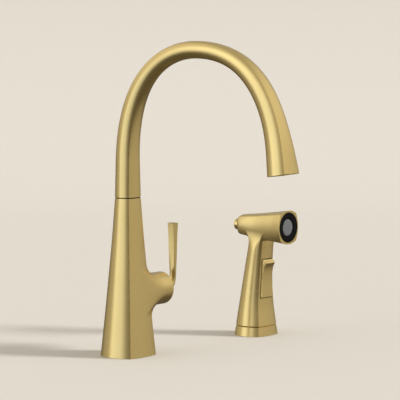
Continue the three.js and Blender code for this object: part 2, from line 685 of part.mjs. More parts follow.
function leverArm() {
  const path = leverPath();
  const { smoothstep, lerp } = THREE.MathUtils;
  const arm = loft((u, v, t) => {
    const centre = path.getPointAt(t);
    const tangent = path.getTangentAt(t);
    const blade = smoothstep(t, 0.1, 0.35);
    const tip = t ** 2;
    const thickness = lerp(LEVER_NECK, lerp(LEVER_THICKNESS, LEVER_TIP_THICKNESS, tip), blade);
    const width = lerp(LEVER_WIDTH, LEVER_WIDTH + 1.3, tip);
    const across = new THREE.Vector3(tangent.z, 0, -tangent.x);
    return centre.addScaledVector(across, (v * thickness) / 2).setY((u * width) / 2);
  }, 8, 18);
  const ball = solid(new THREE.SphereGeometry(BALL_RADIUS + FIT, FINE, 24));
  return cut(arm, ball.translate([TILT_CENTRE, 0, BOSS_HEIGHT]), leverScrewHole());
}

const SCREW_X = TILT_CENTRE + BALL_RADIUS + 6;
const SCREW_RADIUS = 1.8;
const SCREW_DEPTH = 4;
const neckBottom = BOSS_HEIGHT - LEVER_NECK / 2 - 0.4;

const leverScrewHole = () => (
  rod(SCREW_RADIUS + FIT, neckBottom - CUT, neckBottom + SCREW_DEPTH + 1.4, 12).translate([SCREW_X, 0, 0]));
const leverScrew = () => (
  rod(SCREW_RADIUS, neckBottom + 1.6, neckBottom + SCREW_DEPTH + 1, 12).translate([SCREW_X, 0, 0]));
const screwPlug = () => (
  rod(SCREW_RADIUS, neckBottom + 0.5, neckBottom + 1.3, 12).translate([SCREW_X, 0, 0]));

// ---------------------------------------------------------------- side spray holder
const sprayGroup = new THREE.Group();
sprayGroup.position.set(SPRAY_X, SPRAY_Y, 0);
const HOLDER_SPAN = [0, HOLDER_TOP];
const LINER_RADIUS = HOLDER_BORE - FIT;
const PLUG_RADIUS = LINER_RADIUS - LINER_WALL - SLIDE;

function holderGasket() {
  const outline = column(HOLDER_STATIONS, 0, GASKET, HOLDER_SPAN, 0.5, 24, 1);
  return cut(outline, rod(HOLDER_BORE, -CUT, GASKET + CUT, 20));
}

function sprayHolder() {
  const outline = column(HOLDER_STATIONS, BODY_FOOT, HOLDER_TOP, HOLDER_SPAN, 0, 32, 2);
  return cut(outline, rod(HOLDER_BORE, 0, HOLDER_TOP + CUT, 24));
}

const holderLiner = () => tube(LINER_RADIUS, LINER_RADIUS - LINER_WALL, BODY_FOOT, HOLDER_TOP - 0.4, 24);

// ---------------------------------------------------------------- side spray handle and head
const HANDLE_FOOT = HOLDER_TOP + SLIDE;
const HANDLE_SPAN = [HANDLE_FOOT, HANDLE_TOP];

const handleAt = (z) => (z - HANDLE_SPAN[0]) / (HANDLE_SPAN[1] - HANDLE_SPAN[0]);
const handleWidth = (z) => stationValue(HANDLE_STATIONS, 'width', handleAt(z));
const handleDepth = (z) => stationValue(HANDLE_STATIONS, 'depth', handleAt(z));

// The handle and what it holds stand upright first and are then moved forward along its curve.
function leanAt(z) {
  const up = THREE.MathUtils.clamp((z - LEAN_START) / (LEAN_END - LEAN_START), 0, 1);
  return HANDLE_LEAN * up ** LEAN_CURVE;
}
function leaned(manifold) {
  return manifold.warp((place) => {
    place[1] -= leanAt(place[2]);
  });
}

// The head's loft from back to front; t runs over the part between two y values.
function headLoft(from, to, inset, around, along) {
  return loft((u, v, t) => {
    const y = from + (to - from) * t;
    const at = THREE.MathUtils.clamp((y - HEAD_BACK) / (HEAD_FRONT - HEAD_BACK), 0, 1);
    const width = stationValue(HEAD_STATIONS, 'width', at) - inset;
    const depth = stationValue(HEAD_STATIONS, 'depth', at) - inset;
    const point = sectionPoint(u, v, width, depth, HEAD_BULGE, HEAD_BULGE);
    return new THREE.Vector3(point.x, y, HEAD_HEIGHT + point.y);
  }, around, along);
}

// A box with tapering sides, `spare` wider all round than the trigger, through the front wall.
function triggerOpening() {
  const low = TRIGGER_BOTTOM;
  const high = TRIGGER_TOP;
  const geometry = new THREE.BoxGeometry(2, 30, high - low, 1, 1, 6).translate(0, -15, (high + low) / 2);
  const position = geometry.attributes.position;
  for (let i = 0; i < position.count; i += 1) {
    position.setX(i, position.getX(i) * (handleWidth(position.getZ(i)) - TRIGGER_MARGIN));
  }
  return solid(geometry);
}

const pinY = () => -handleDepth(TRIGGER_PIVOT) + 5;
const pinHalf = () => handleWidth(TRIGGER_PIVOT) + 2;

function pinRod(radius, half) {
  return rod(radius, -half, half, 12).rotate([0, 90, 0]).translate([0, pinY(), TRIGGER_PIVOT]);
}

function wandShell() {
  const handle = column(HANDLE_STATIONS, HANDLE_FOOT, HANDLE_TOP, HANDLE_SPAN, 0, 24, 9);
  const head = headLoft(HEAD_BACK, HEAD_FRONT, 0, 24, 10);
  const insideTop = HEAD_HEIGHT - HEAD_MIDDLE;
  const inside = column(HANDLE_STATIONS, HANDLE_FOOT - CUT, insideTop, HANDLE_SPAN, HANDLE_WALL, 16, 6);
  const passage = rod(SPRAY_TUBE_RADIUS + 1, insideTop - CUT, HEAD_HEIGHT, 12)
    .translate([0, SPRAY_TUBE_Y, 0]);
  const barrel = headLoft(HEAD_BACK - 3, HEAD_FRONT + NOZZLE_SEAT - 1, HEAD_WALL, 16, 6);
  const buttonBore = alongY(rod(BUTTON_RADIUS + SLIDE, -HEAD_BACK - CUT, -HEAD_BACK + 6, 20), 0, HEAD_HEIGHT);
  const nozzleBore = rod(NOZZLE_RADIUS + FIT, -HEAD_FRONT - NOZZLE_SEAT, -HEAD_FRONT + CUT, FINE);
  const openings = join(triggerOpening(), pinRod(TRIGGER_PIN + FIT, pinHalf()));
  return cut(join(leaned(handle), head), leaned(inside), leaned(passage), leaned(openings),
    barrel, buttonBore, alongY(nozzleBore, 0, HEAD_HEIGHT));
}

// How far the trigger's face stands out of the handle's: a dished face up to a lip, and a bevel over it.
function triggerRise(z, low, high) {
  const edge = high - TRIGGER_BEVEL;
  if (z > edge) return (TRIGGER_LIP * (high - z)) / TRIGGER_BEVEL;
  const up = (z - low) / (edge - low);
  return TRIGGER_LIP * up ** 7 - TRIGGER_HOLLOW * Math.sin(Math.PI * up) ** 2;
}

// The trigger follows the handle's front face.
function trigger() {
  const low = TRIGGER_BOTTOM + SLIDE;
  const high = TRIGGER_TOP - SLIDE;
  const steps = 10;
  const geometry = new THREE.BoxGeometry(2, 1, 1, 6, 1, steps);
  const position = geometry.attributes.position;
  for (let i = 0; i < position.count; i += 1) {
    const u = position.getX(i);
    const step = Math.round((position.getZ(i) + 0.5) * steps);
    const edge = high - TRIGGER_BEVEL;
    const z = step === steps ? high : low + ((edge - low) * step) / (steps - 1);
    const width = handleWidth(z) - TRIGGER_MARGIN - SLIDE;
    const bulge = FACE_BULGE * handleWidth(z) * (1 - (u * width / handleWidth(z)) ** 2);
    const face = -handleDepth(z) - bulge - triggerRise(z, low, high);
    const back = -handleDepth(z) + TRIGGER_THICKNESS;
    position.setXYZ(i, u * width, position.getY(i) < 0 ? face : back, z);
  }
  const hub = rod(TRIGGER_PIN + 2, -6, 6, 16).rotate([0, 90, 0]).translate([0, pinY(), TRIGGER_PIVOT]);
  return leaned(cut(join(solid(geometry), hub), pinRod(TRIGGER_PIN + FIT, pinHalf() + CUT)));
}

const triggerPin = () => leaned(pinRod(TRIGGER_PIN, pinHalf() - FIT));

// ---------------------------------------------------------------- side spray waterway
const PLUG_TOP = 30;
const NIPPLE_RADIUS = 5;

function wandPlug() {
  const step = HANDLE_FOOT + 1;
  const body = turned([[0, 4], [PLUG_RADIUS, 4], [PLUG_RADIUS, step], [PLUG_RADIUS + 1.4, step],
    [PLUG_RADIUS + 1.4, PLUG_TOP - 4], [9, PLUG_TOP], [0, PLUG_TOP]], 24);
  const hoseBore = rod(NIPPLE_RADIUS + FIT, 4 - CUT, 16);
  const tubeBore = rod(SPRAY_TUBE_BORE, 15, PLUG_TOP + CUT, 12).translate([0, SPRAY_TUBE_Y - 1, 0]);
  return cut(body, hoseBore, tubeBore);
}

const hoseNipple = () => tube(NIPPLE_RADIUS, 3.4, BODY_FOOT + 0.8, 15);

function wandTube(low, high) {
  return leaned(tube(SPRAY_TUBE_RADIUS, SPRAY_TUBE_BORE, low, high).translate([0, SPRAY_TUBE_Y, 0]));
}

const VALVE_FRONT = -2;
const VALVE_BACK = 9.4;
const POPPET_Z = (SPRAY_VALVE_BOTTOM + SPRAY_VALVE_TOP) / 2;
const POPPET_TRAVEL = (POPPET_Z - TRIGGER_PIVOT) * Math.sin(TRIGGER_PRESS);
const POPPET_HEAD = VALVE_FRONT + 0.6;

function sprayValve() {
  const block = box([-7, VALVE_FRONT, SPRAY_VALVE_BOTTOM], [7, VALVE_BACK, SPRAY_VALVE_TOP]);
  const seatBore = alongY(rod(POPPET_RADIUS + SLIDE, -VALVE_BACK + 1, -VALVE_FRONT + CUT, 16), 0, POPPET_Z);
  const waterway = rod(SPRAY_TUBE_BORE - 0.4, SPRAY_VALVE_BOTTOM - CUT, SPRAY_VALVE_TOP + CUT, 12);
  return leaned(cut(block, seatBore, waterway.translate([0, SPRAY_TUBE_Y, 0])));
}

// The poppet's tip waits just behind the trigger.
function poppet() {
  const tip = -handleDepth(POPPET_Z) + TRIGGER_THICKNESS + SLIDE;
  const stem = alongY(rod(1.5, -POPPET_HEAD - 0.5, -tip, 12), 0, POPPET_Z);
  const head = alongY(rod(POPPET_RADIUS, -POPPET_HEAD - 1.8, -POPPET_HEAD, 16), 0, POPPET_Z);
  return leaned(join(stem, head));
}

// Springs are drawn at their pressed length, behind the full travel of what they push.
function poppetSpring() {
  const front = POPPET_HEAD + 1.8 + POPPET_TRAVEL + FIT;
  return leaned(alongY(spring(POPPET_RADIUS, 0.6, -VALVE_BACK + 1 + FIT, -front), 0, POPPET_Z));
}

const MANIFOLD_BACK = 14;
const MANIFOLD_FRONT = HEAD_FRONT + NOZZLE_DEPTH + NOZZLE_RECESS + 1.4;
const MANIFOLD_RADIUS = 8.4;

function headManifold() {
  const body = alongY(rod(MANIFOLD_RADIUS, -MANIFOLD_BACK, -MANIFOLD_FRONT, 20), 0, HEAD_HEIGHT);
  const bore = alongY(rod(5, -MANIFOLD_BACK - CUT, -MANIFOLD_FRONT + CUT, 16), 0, HEAD_HEIGHT);
  const feed = rod(SPRAY_TUBE_BORE, HEAD_HEIGHT - MANIFOLD_RADIUS - CUT, HEAD_HEIGHT, 12);
  return cut(body, bore, feed.translate([0, SPRAY_TUBE_Y - HANDLE_LEAN, 0]));
}

// A round black ring: its flange seats in the head's front and its body reaches into the head.
function nozzleRing() {
  const front = -HEAD_FRONT - NOZZLE_RECESS;
  const step = front - NOZZLE_FLANGE;
  const back = front - NOZZLE_DEPTH;
  const inner = SPRAY_FACE_RADIUS + FIT;
  return alongY(turned([[inner, back], [NOZZLE_BODY_RADIUS, back], [NOZZLE_BODY_RADIUS, step],
    [NOZZLE_RADIUS, step], [NOZZLE_RADIUS, front], [inner, front], [inner, back]], FINE), 0, HEAD_HEIGHT);
}

function sprayFace() {
  const front = HEAD_FRONT + NOZZLE_RECESS + 0.2;
  const rings = [{ count: 1, radius: 0 }, { count: 6, radius: 4 }, { count: 10, radius: 8 }];
  const holes = rings.flatMap(({ count, radius }) => Array.from({ length: count }, (_, i) => {
    const angle = (i / count) * 2 * Math.PI;
    const x = radius * Math.cos(angle);
    const z = HEAD_HEIGHT + radius * Math.sin(angle);
    return alongY(rod(0.8, -front - NOZZLE_DEPTH, -front + CUT, 6), x, z);
  }));
  return cut(alongY(rod(SPRAY_FACE_RADIUS, -front - 4, -front, 24), 0, HEAD_HEIGHT), ...holes);
}

function modeButton() {
  const outer = HEAD_BACK + BUTTON_PROUD;
  const inner = HEAD_BACK - 2;
  const knob = alongY(turned([[0, -outer], [BUTTON_RADIUS - 1, -outer], [BUTTON_RADIUS, -outer + 1],
    [BUTTON_RADIUS, -inner], [0, -inner]], 20), 0, HEAD_HEIGHT);
  const spool = alongY(rod(2.4, -inner - 1, -MANIFOLD_BACK + 5, 12), 0, HEAD_HEIGHT);
  return join(knob, spool);
}

function buttonSpring() {
  const back = HEAD_BACK - 2 - BUTTON_TRAVEL - FIT;
  return alongY(spring(4.4, 0.8, -back, -MANIFOLD_BACK - FIT), 0, HEAD_HEIGHT);
}

// ---------------------------------------------------------------- assembly
addPart('base_gasket', baseGasket(), RUBBER);
addPart('body_shell', bodyShell(), BRASS);
addPart('mounting_flange', mountingFlange(), STEEL);
INLETS.forEach((place) => addPart(place.name, inlet(place), INNER_BRASS));
addPart('valve_body', valveBody(), INNER_BRASS);
addPart('diverter_sleeve', diverterSleeve(), NYLON);
addPart('diverter_piston', diverterPiston(), NYLON);
addPart('diverter_spring', diverterSpring(), STEEL);
addPart('riser_tube', riserTube(), INNER_BRASS);

addPart('swivel_post', swivelPost(), INNER_BRASS);
addPart('swivel_washer', swivelWasher(), BLACK);
addPart('lower_o_ring', oRing(O_RING_HEIGHTS[0]), RUBBER);
addPart('upper_o_ring', oRing(O_RING_HEIGHTS[1]), RUBBER);
addPart('retaining_clip', retainingClip(), STEEL);
addPart('spout_adapter', spoutAdapter(), INNER_BRASS);
addPart('spout_shell', spoutShell(), BRASS);
faucet.add(outletGroup);
addPart('outlet_bushing', outletBushing(), INNER_BRASS, outletGroup);
addPart('aerator_housing', aeratorHousing(), BRASS, outletGroup);
addPart('aerator_screen', aeratorScreen(), WHITE, outletGroup);
addPart('aerator_washer', aeratorWasher(), RUBBER, outletGroup);

addPart('cartridge_seal', cartridgeSeal(), RUBBER);
addPart('cartridge_base', cartridgeBase(), WHITE);
addPart('fixed_disc', fixedDisc(), CERAMIC);
addPart('moving_disc', movingDisc(), CERAMIC);
addPart('disc_carrier', discCarrier(), NYLON);
addPart('cartridge_rotor', cartridgeRotor(), NYLON);
addPart('cartridge_housing', cartridgeHousing(), WHITE);
addPart('cartridge_nut', cartridgeNut(), INNER_BRASS);
addPart('bonnet_ring', bonnetRing(), BRASS);
addPart('lever_stem', leverStem(), STEEL);
addPart('ball_cap', ballCap(), BRASS);
addPart('lever_arm', leverArm(), BRASS);
addPart('lever_screw', leverScrew(), STEEL);
addPart('screw_plug', screwPlug(), BRASS);

faucet.add(sprayGroup);
addPart('holder_gasket', holderGasket(), RUBBER, sprayGroup);
addPart('spray_holder', sprayHolder(), BRASS, sprayGroup);
addPart('holder_liner', holderLiner(), BLACK, sprayGroup);
addPart('wand_shell', wandShell(), BRASS, sprayGroup);
addPart('wand_plug', wandPlug(), INNER_BRASS, sprayGroup);
addPart('hose_nipple', hoseNipple(), STEEL, sprayGroup);
addPart('lower_wand_tube', wandTube(PLUG_TOP + FIT, SPRAY_VALVE_BOTTOM - FIT), NYLON, sprayGroup);
addPart('spray_valve', sprayValve(), NYLON, sprayGroup);
const upperTube = wandTube(SPRAY_VALVE_TOP + FIT, HEAD_HEIGHT - MANIFOLD_RADIUS - FIT);
addPart('upper_wand_tube', upperTube, NYLON, sprayGroup);
addPart('poppet', poppet(), STEEL, sprayGroup);
addPart('poppet_spring', poppetSpring(), STEEL, sprayGroup);
addPart('head_manifold', headManifold(), NYLON, sprayGroup);
addPart('nozzle_ring', nozzleRing(), BLACK, sprayGroup);
addPart('spray_face', sprayFace(), GREY, sprayGroup);
addPart('mode_button', modeButton(), BRASS, sprayGroup);
addPart('button_spring', buttonSpring(), STEEL, sprayGroup);
addPart('trigger', trigger(), BRASS, sprayGroup);
addPart('trigger_pin', triggerPin(), STEEL, sprayGroup);

export default faucet;
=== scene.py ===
import json
import math

import bmesh
import bpy
import numpy as np
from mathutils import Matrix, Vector


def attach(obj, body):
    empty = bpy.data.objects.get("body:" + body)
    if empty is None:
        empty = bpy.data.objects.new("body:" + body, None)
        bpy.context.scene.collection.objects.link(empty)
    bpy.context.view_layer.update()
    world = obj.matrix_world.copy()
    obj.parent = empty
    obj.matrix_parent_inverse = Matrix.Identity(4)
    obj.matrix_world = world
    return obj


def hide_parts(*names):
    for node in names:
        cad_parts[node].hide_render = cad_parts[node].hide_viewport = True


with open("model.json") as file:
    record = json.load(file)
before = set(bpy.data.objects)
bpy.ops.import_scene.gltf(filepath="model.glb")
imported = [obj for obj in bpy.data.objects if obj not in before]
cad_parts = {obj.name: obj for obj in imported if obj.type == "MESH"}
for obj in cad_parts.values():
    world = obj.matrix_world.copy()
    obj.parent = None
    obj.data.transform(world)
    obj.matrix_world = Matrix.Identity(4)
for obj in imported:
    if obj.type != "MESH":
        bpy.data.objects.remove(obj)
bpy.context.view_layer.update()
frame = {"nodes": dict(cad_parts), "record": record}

MM = 0.001

# ------------------------------------------------------------------ sizes, in millimetres
BODY_TOP = 201.2
BODY_FOOT = 0.3
BODY_STATIONS = ((0, 0.25, 0.5, 0.75, 1), (25.5, 21.7, 18.1, 14.7, 12.0), (24.8, 21.0, 17.5, 14.2, 11.4))
FACE_BULGE = 0.14
SIDE_BULGE = 0.35

BOSS_HEIGHT = 80.5
BOSS_RADIUS = 21.0
BOSS_START = 55.0
BOSS_END = 66.5
BOSS_FLOW = 37.0
BOSS_BORE = 17.4

TILT_CENTRE = 52.0
BALL_RADIUS = 16.9
BALL_WALL = 2.0
LEVER_REACH = 90.0
LEVER_TOP = 163.5
NECK_THICK = 10.0
BLADE_THICK = 6.0
BLADE_WIDE = 8.9
# the neck's sweep in the Y = 0 plane, as the four (x, z) points of its curve
LEVER_NECK = ((66.5, 80.5), (84.0, 77.5), (90.6, 80.5), (90.0, 101.0))

WASHER_LOW = 201.5
WASHER_HIGH = 202.2
WASHER_BORE = 7.6
WASHER_SHARE = 0.95

SPOUT_FOOT = 202.5
SPOUT_STEM_TOP = 248.0
SPOUT_HEIGHT = 400.0
CROWN_REACH = 110.4
CROWN_BULGE = 0.3
OUTLET_REACH = 243.9
OUTLET_HEIGHT = 240.3
OUTLET_TILT = math.radians(9.2)
SPOUT_WALL = 1.6
LIP_EDGE = 0.35
OUTLET_BORE = 11.2
OUTLET_DEPTH = 16.0
SPOUT_STATIONS = (
    (0, 0.2, 0.38, 0.55, 0.75, 0.88, 1),
    (12, 9.6, 7.3, 7.8, 9.2, 10.7, 15.4),
    (11.4, 10.5, 9.2, 8.5, 10.1, 11.2, 12.8),
)

SPRAY_AT = np.array([248.0, -17.7, 0.0])
# an eased edge: the last of a section's height, over which it is drawn in
EDGE_HEIGHT = 0.7
EASED = np.array([0.965, 0.965, 1.0])

HOLDER_TOP = 13.2
HOLDER_BORE = 15.0
HOLDER_STATIONS = ((0, 1), (22.2, 20.7), (20.3, 19.0))

HANDLE_FOOT = 13.6
HANDLE_TOP = 138.0
HANDLE_STATIONS = ((0, 0.3, 0.6, 0.85, 1), (20.5, 17.2, 14.6, 13.6, 13.4), (19.2, 15.3, 13.0, 11.4, 11.2))
HANDLE_LEAN = 8.3
LEAN_START = 30.0
LEAN_END = 126.0
LEAN_CURVE = 1.7

HEAD_HEIGHT = 149.5
HEAD_BACK = 26.1
HEAD_FRONT = -54.0
HEAD_BULGE = 0.24
HEAD_STATIONS = ((0, 0.06, 0.45, 0.8, 1), (9.0, 10.8, 12.4, 15.0, 17.4), (9.2, 11.2, 13.8, 16.8, 18.6))
HEAD_UNDERSIDE = ((0, 0.06, 0.45, 0.8, 1), (9.2, 11.2, 15.5, 18.2, 18.6), (0.24, 0.24, 0.1, 0.15, 0.24))
# the back end's rounded edge, its length and how far it draws the section in; how far the top is flattened
BACK_ROUND = 5.0
BACK_SHRINK = 1.9
HEAD_FLATTENING = 0.09

NOZZLE_RADIUS = 20.2
NOZZLE_RECESS = 2.2
NOZZLE_SEAT = 15.2
SEAT_DEPTH = 7.0
SPRAY_FACE_RADIUS = 11.0
BUTTON_PROUD = 7.0
BUTTON_SHOWN = 7.4
BUTTON_BORE = 7.9
BUTTON_DEPTH = 6.0

# the neck between head and handle; its front and back are along the head
NECK_FRONT = -25.5
NECK_BACK = 8.5
NECK_HEIGHT = 127.0
NECK_DROP = 11.0
NECK_WRAP = 1.6

TRIGGER_PROUD = 1.6
TRIGGER_POCKET = 12.6
TRIGGER_BOTTOM = 51.5
TRIGGER_TOP = 105.5
TRIGGER_GAP = (1.3, 1.0)
TRIGGER_DEPTH = 4.6
TRIGGER_DISH = 0.8
LIP_RISE = 4.4
LIP_SLOPE = 5.0
POCKET_SHARE = 0.81


# ------------------------------------------------------------------ shapes
def station(stations, at):
    """Width and depth at a share of the length: cubic pieces through the stations, whose slope at each
    station is the chord between its two neighbours."""
    knots = np.array(stations[0], float)
    last = len(knots) - 1
    at = np.clip(np.asarray(at, float), 0, 1)
    i = np.clip(np.searchsorted(knots, at, side="right") - 1, 0, last - 1)
    span = knots[i + 1] - knots[i]
    t = (at - knots[i]) / span
    found = []
    for column in stations[1:]:
        value = np.array(column, float)
        low = np.maximum(np.arange(last + 1) - 1, 0)
        high = np.minimum(np.arange(last + 1) + 1, last)
        slope = (value[high] - value[low]) / (knots[high] - knots[low])
        rise = value[i + 1] - value[i]
        start, end = slope[i] * span, slope[i + 1] * span
        square, cube = 3 * rise - 2 * start - end, start + end - 2 * rise
        found.append(value[i] + start * t + square * t**2 + cube * t**3)
    return found


def section(u, v, width, depth, face=FACE_BULGE, side=SIDE_BULGE):
    """A four sided section with bowed sides: x = u(width + side*depth*(1-v*v)), and y in the same way."""
    return u * (width + side * depth * (1 - v * v)), v * (depth + face * width * (1 - u * u))


def outline(steps=16, corner=3, radius=0.035):
    """Once round a square of half side 1 with rounded corners, from the middle of its lower side. Gives
    u, v and c, which counts 1 at the first corner, 2 at the middle of the next side and so on to 8."""
    along = (1 - radius) * (1 - np.cos(np.pi * np.arange(steps) / steps)) / 2
    turn = np.linspace(0, np.pi / 4, corner + 1)
    a = np.append(along, 1 - radius + radius * np.sin(turn))
    h = np.append(np.ones(steps), 1 - radius + radius * np.cos(turn))
    half_u, half_v = np.append(a, h[-2:0:-1]), np.append(h, a[-2:0:-1])
    half_c = np.append(a, 2 - a[-2:0:-1])
    u, v, c = [], [], []
    for side in range(4):
        angle = side * np.pi / 2
        cos, sin = round(math.cos(angle)), round(math.sin(angle))
        u.append(half_u * cos + half_v * sin)
        v.append(half_u * sin - half_v * cos)
        c.append(half_c + 2 * side)
    return np.concatenate(u), np.concatenate(v), np.concatenate(c)


def ring_outline(steps=16, corner=3, radius=0.035):
    """The outline with its first point again at its end, where c has gone once round and counts 8."""
    u, v, c = outline(steps, corner, radius)
    return np.append(u, u[0]), np.append(v, v[0]), np.append(c, 8.0)


def fan(loop):
    """A sheet from a loop to its middle: rows shrink on to the mean point of the loop."""
    return np.stack([loop, np.broadcast_to(loop.mean(axis=0), loop.shape)])


def eased(count):
    """Shares from 0 to 1 that lie closer together at both ends: half of one less the cosine."""
    return (1 - np.cos(np.pi * np.arange(count) / (count - 1))) / 2


def turned(profile, segments=96):
    """A profile of (radius, height) points turned once about Z."""
    profile = np.array(profile, float)
    angle = np.linspace(0, 2 * np.pi, segments + 1)
    radius, height = profile[:, 0, None], profile[:, 1, None]
    return np.stack([radius * np.cos(angle), radius * np.sin(angle), height + 0 * angle], axis=-1)


def rounded(profile, radius, steps=4):
    """The profile with each inner corner replaced by a short parabola that starts and ends radius away."""
    profile = np.array(profile, float)
    made = [profile[0]]
    t = np.linspace(0, 1, steps + 1)[:, None]
    for before, here, after in zip(profile[:-2], profile[1:-1], profile[2:]):
        to, on = before - here, after - here
        reach = min(radius, 0.45 * np.linalg.norm(to), 0.45 * np.linalg.norm(on))
        start, end = here + reach * to / np.linalg.norm(to), here + reach * on / np.linalg.norm(on)
        made.extend((1 - t) ** 2 * start + 2 * t * (1 - t) * here + t**2 * end)
    return np.array(made + [profile[-1]])


def along_x(points, x, z):
    """A shape turned about Z laid along X: its height becomes x."""
    return np.stack([points[..., 2] + x, points[..., 0], points[..., 1] + z], axis=-1)


def along_minus_y(points, x, y, z):
    """A shape turned about Z laid along -Y: its height becomes -y."""
    return np.stack([points[..., 0] + x, y - points[..., 2], points[..., 1] + z], axis=-1)


def unit(vectors):
    return vectors / np.linalg.norm(vectors, axis=-1, keepdims=True)


def hole_edge(rows, columns):
    """Row and column numbers once round a rectangle of a grid."""
    (r0, r1), (c0, c1) = rows, columns
    r = np.concatenate([np.full(c1 - c0, r0), np.arange(r0, r1), np.full(c1 - c0, r1), np.arange(r1, r0, -1)])
    c = np.concatenate([np.arange(c0, c1), np.full(r1 - r0, c1), np.arange(c1, c0, -1), np.full(r1 - r0, c0)])
    return np.append(r, r[0]), np.append(c, c[0])


def leaving(grid, r, c, a, b):
    """The way each edge point leaves the surface: along the grid's columns at the rectangle's ends, along
    its rows over its middle, and turning evenly from one to the other round its corners."""
    across, up = unit(np.gradient(grid, axis=1)), unit(np.gradient(grid, axis=0))
    on_side = np.abs(np.abs(b) - 1) < 1e-6
    turn = np.where(on_side, 90 - 45 * np.clip(np.abs(a) - 1, 0, 1) ** 1.3, 45 * np.abs(b) ** 2)
    angle = np.radians(turn)[:, None]
    sideways, lengthways = np.sign(a)[:, None] * across[r, c], np.sign(b)[:, None] * up[r, c]
    return unit(-np.cos(angle) * sideways - np.sin(angle) * lengthways)


def bezier(b0, b1, b2, b3, steps):
    """Rows of a cubic Bezier drawn from every point of the first loop to its mate on the last."""
    t = np.linspace(0, 1, steps + 1)[:, None, None]
    return (1 - t) ** 3 * b0 + 3 * (1 - t) ** 2 * t * b1 + 3 * (1 - t) * t**2 * b2 + t**3 * b3


def without(points, rows, columns):
    """The sheet's faces, with those inside a rectangle left out."""
    keep = np.ones((points.shape[0] - 1, points.shape[1] - 1), bool)
    keep[rows[0] : rows[1], columns[0] : columns[1]] = False
    return points, keep


def skin(name, sheets, material, body, nodes=(), sharp=32.0):
    """One closed piece from sheets of points: each sheet's neighbours make four sided faces, edges that
    meet are merged, and the faces are turned outwards. Its UV map is measured in metres, u round the
    sheet and v along it."""
    places, faces, maps, count = [], [], [], 0
    for sheet in sheets:
        points, keep = sheet if isinstance(sheet, tuple) else (sheet, None)
        rows, columns = points.shape[:2]
        number = count + np.arange(rows * columns).reshape(rows, columns)
        quads = np.stack([number[:-1, :-1], number[:-1, 1:], number[1:, 1:], number[1:, :-1]], axis=-1)
        faces.append((quads if keep is None else quads[keep]).reshape(-1, 4))
        around = np.linalg.norm(np.diff(points, axis=1), axis=2).mean(axis=0).cumsum()
        along = np.linalg.norm(np.diff(points, axis=0), axis=2).mean(axis=1).cumsum()
        u, v = np.meshgrid(np.append(0, around), np.append(0, along))
        maps.append(np.stack([u, v], axis=-1).reshape(-1, 2) * MM)
        places.append(points.reshape(-1, 3) * MM)
        count += rows * columns
    places, faces, maps = np.concatenate(places), np.concatenate(faces), np.concatenate(maps)
    mesh = bpy.data.meshes.new(name)
    mesh.from_pydata(places, [], faces)
    mesh.uv_layers.new(name="length").data.foreach_set("uv", maps[faces.ravel()].ravel())
    shape = bmesh.new()
    shape.from_mesh(mesh)
    bmesh.ops.remove_doubles(shape, verts=shape.verts, dist=0.004 * MM)
    bmesh.ops.dissolve_degenerate(shape, edges=shape.edges, dist=0.001 * MM)
    bmesh.ops.recalc_face_normals(shape, faces=shape.faces)
    shape.to_mesh(mesh)
    shape.free()
    mesh.shade_smooth()
    mesh.set_sharp_from_angle(angle=math.radians(sharp))
    piece = bpy.data.objects.new(name, mesh)
    bpy.context.scene.collection.objects.link(piece)
    mesh.materials.append(material)
    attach(piece, body)
    if nodes:
        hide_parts(*nodes)


# ------------------------------------------------------------------ materials
def linear(code):
    """An sRGB colour written #RRGGBB as linear light."""
    parts = [int(code[i : i + 2], 16) / 255 for i in (1, 3, 5)]
    return tuple(p / 12.92 if p <= 0.04045 else ((p + 0.055) / 1.055) ** 2.4 for p in parts) + (1.0,)


def add(tree, kind, settings=None, inputs=None):
    """One node: its settings, and its sockets, each given a value or the (node, output) that feeds it."""
    made = tree.nodes.new(kind)
    for key, value in (settings or {}).items():
        setattr(made, key, value)
    for key, value in (inputs or {}).items():
        if isinstance(value, tuple) and len(value) == 2 and hasattr(value[0], "outputs"):
            tree.links.new(value[0].outputs[value[1]], made.inputs[key])
        else:
            made.inputs[key].default_value = value
    return made


def finish(name, tones, roughness, metallic=0.0, spot=3.0, stretch=(1, 1, 1), grain=(0.2, 0.03),
           source="Object", bump=0.02, shader=None):
    """A procedural finish. Two tones are mixed by soft clouds of the spot size in millimetres; a finer
    grain, whose size and share of roughness are given, is stretched one way where the surface is brushed."""
    made = bpy.data.materials.new(name)
    made.use_nodes = True
    tree = made.node_tree
    tree.nodes.clear()
    place = add(tree, "ShaderNodeTexCoord")
    clouds = add(tree, "ShaderNodeTexNoise", None,
                 {"Vector": (place, "Object"), "Scale": 1 / (spot * MM), "Detail": 3.0, "Roughness": 0.5})
    tone = add(tree, "ShaderNodeMix", {"data_type": "RGBA"},
               {"Factor": (clouds, "Fac"), 6: linear(tones[0]), 7: linear(tones[1])})
    stretched = add(tree, "ShaderNodeMapping", None, {"Vector": (place, source), "Scale": stretch})
    fine = add(tree, "ShaderNodeTexNoise", None,
               {"Vector": (stretched, "Vector"), "Scale": 1 / (grain[0] * MM), "Detail": 2.0, "Roughness": 0.6})
    rough = add(tree, "ShaderNodeMapRange", None,
                {"Value": (fine, "Fac"), "From Min": 0.3, "From Max": 0.7,
                 "To Min": roughness - grain[1], "To Max": roughness + grain[1]})
    dents = add(tree, "ShaderNodeBump", None,
                {"Height": (fine, "Fac"), "Strength": 1.0, "Distance": bump * MM})
    surface = add(tree, "ShaderNodeBsdfPrincipled", None,
                  {"Base Color": (tone, 2), "Metallic": metallic, "Roughness": (rough, "Result"),
                   "Normal": (dents, "Normal"), **(shader or {})})
    add(tree, "ShaderNodeOutputMaterial", None, {"Surface": (surface, "BSDF")})
    return made


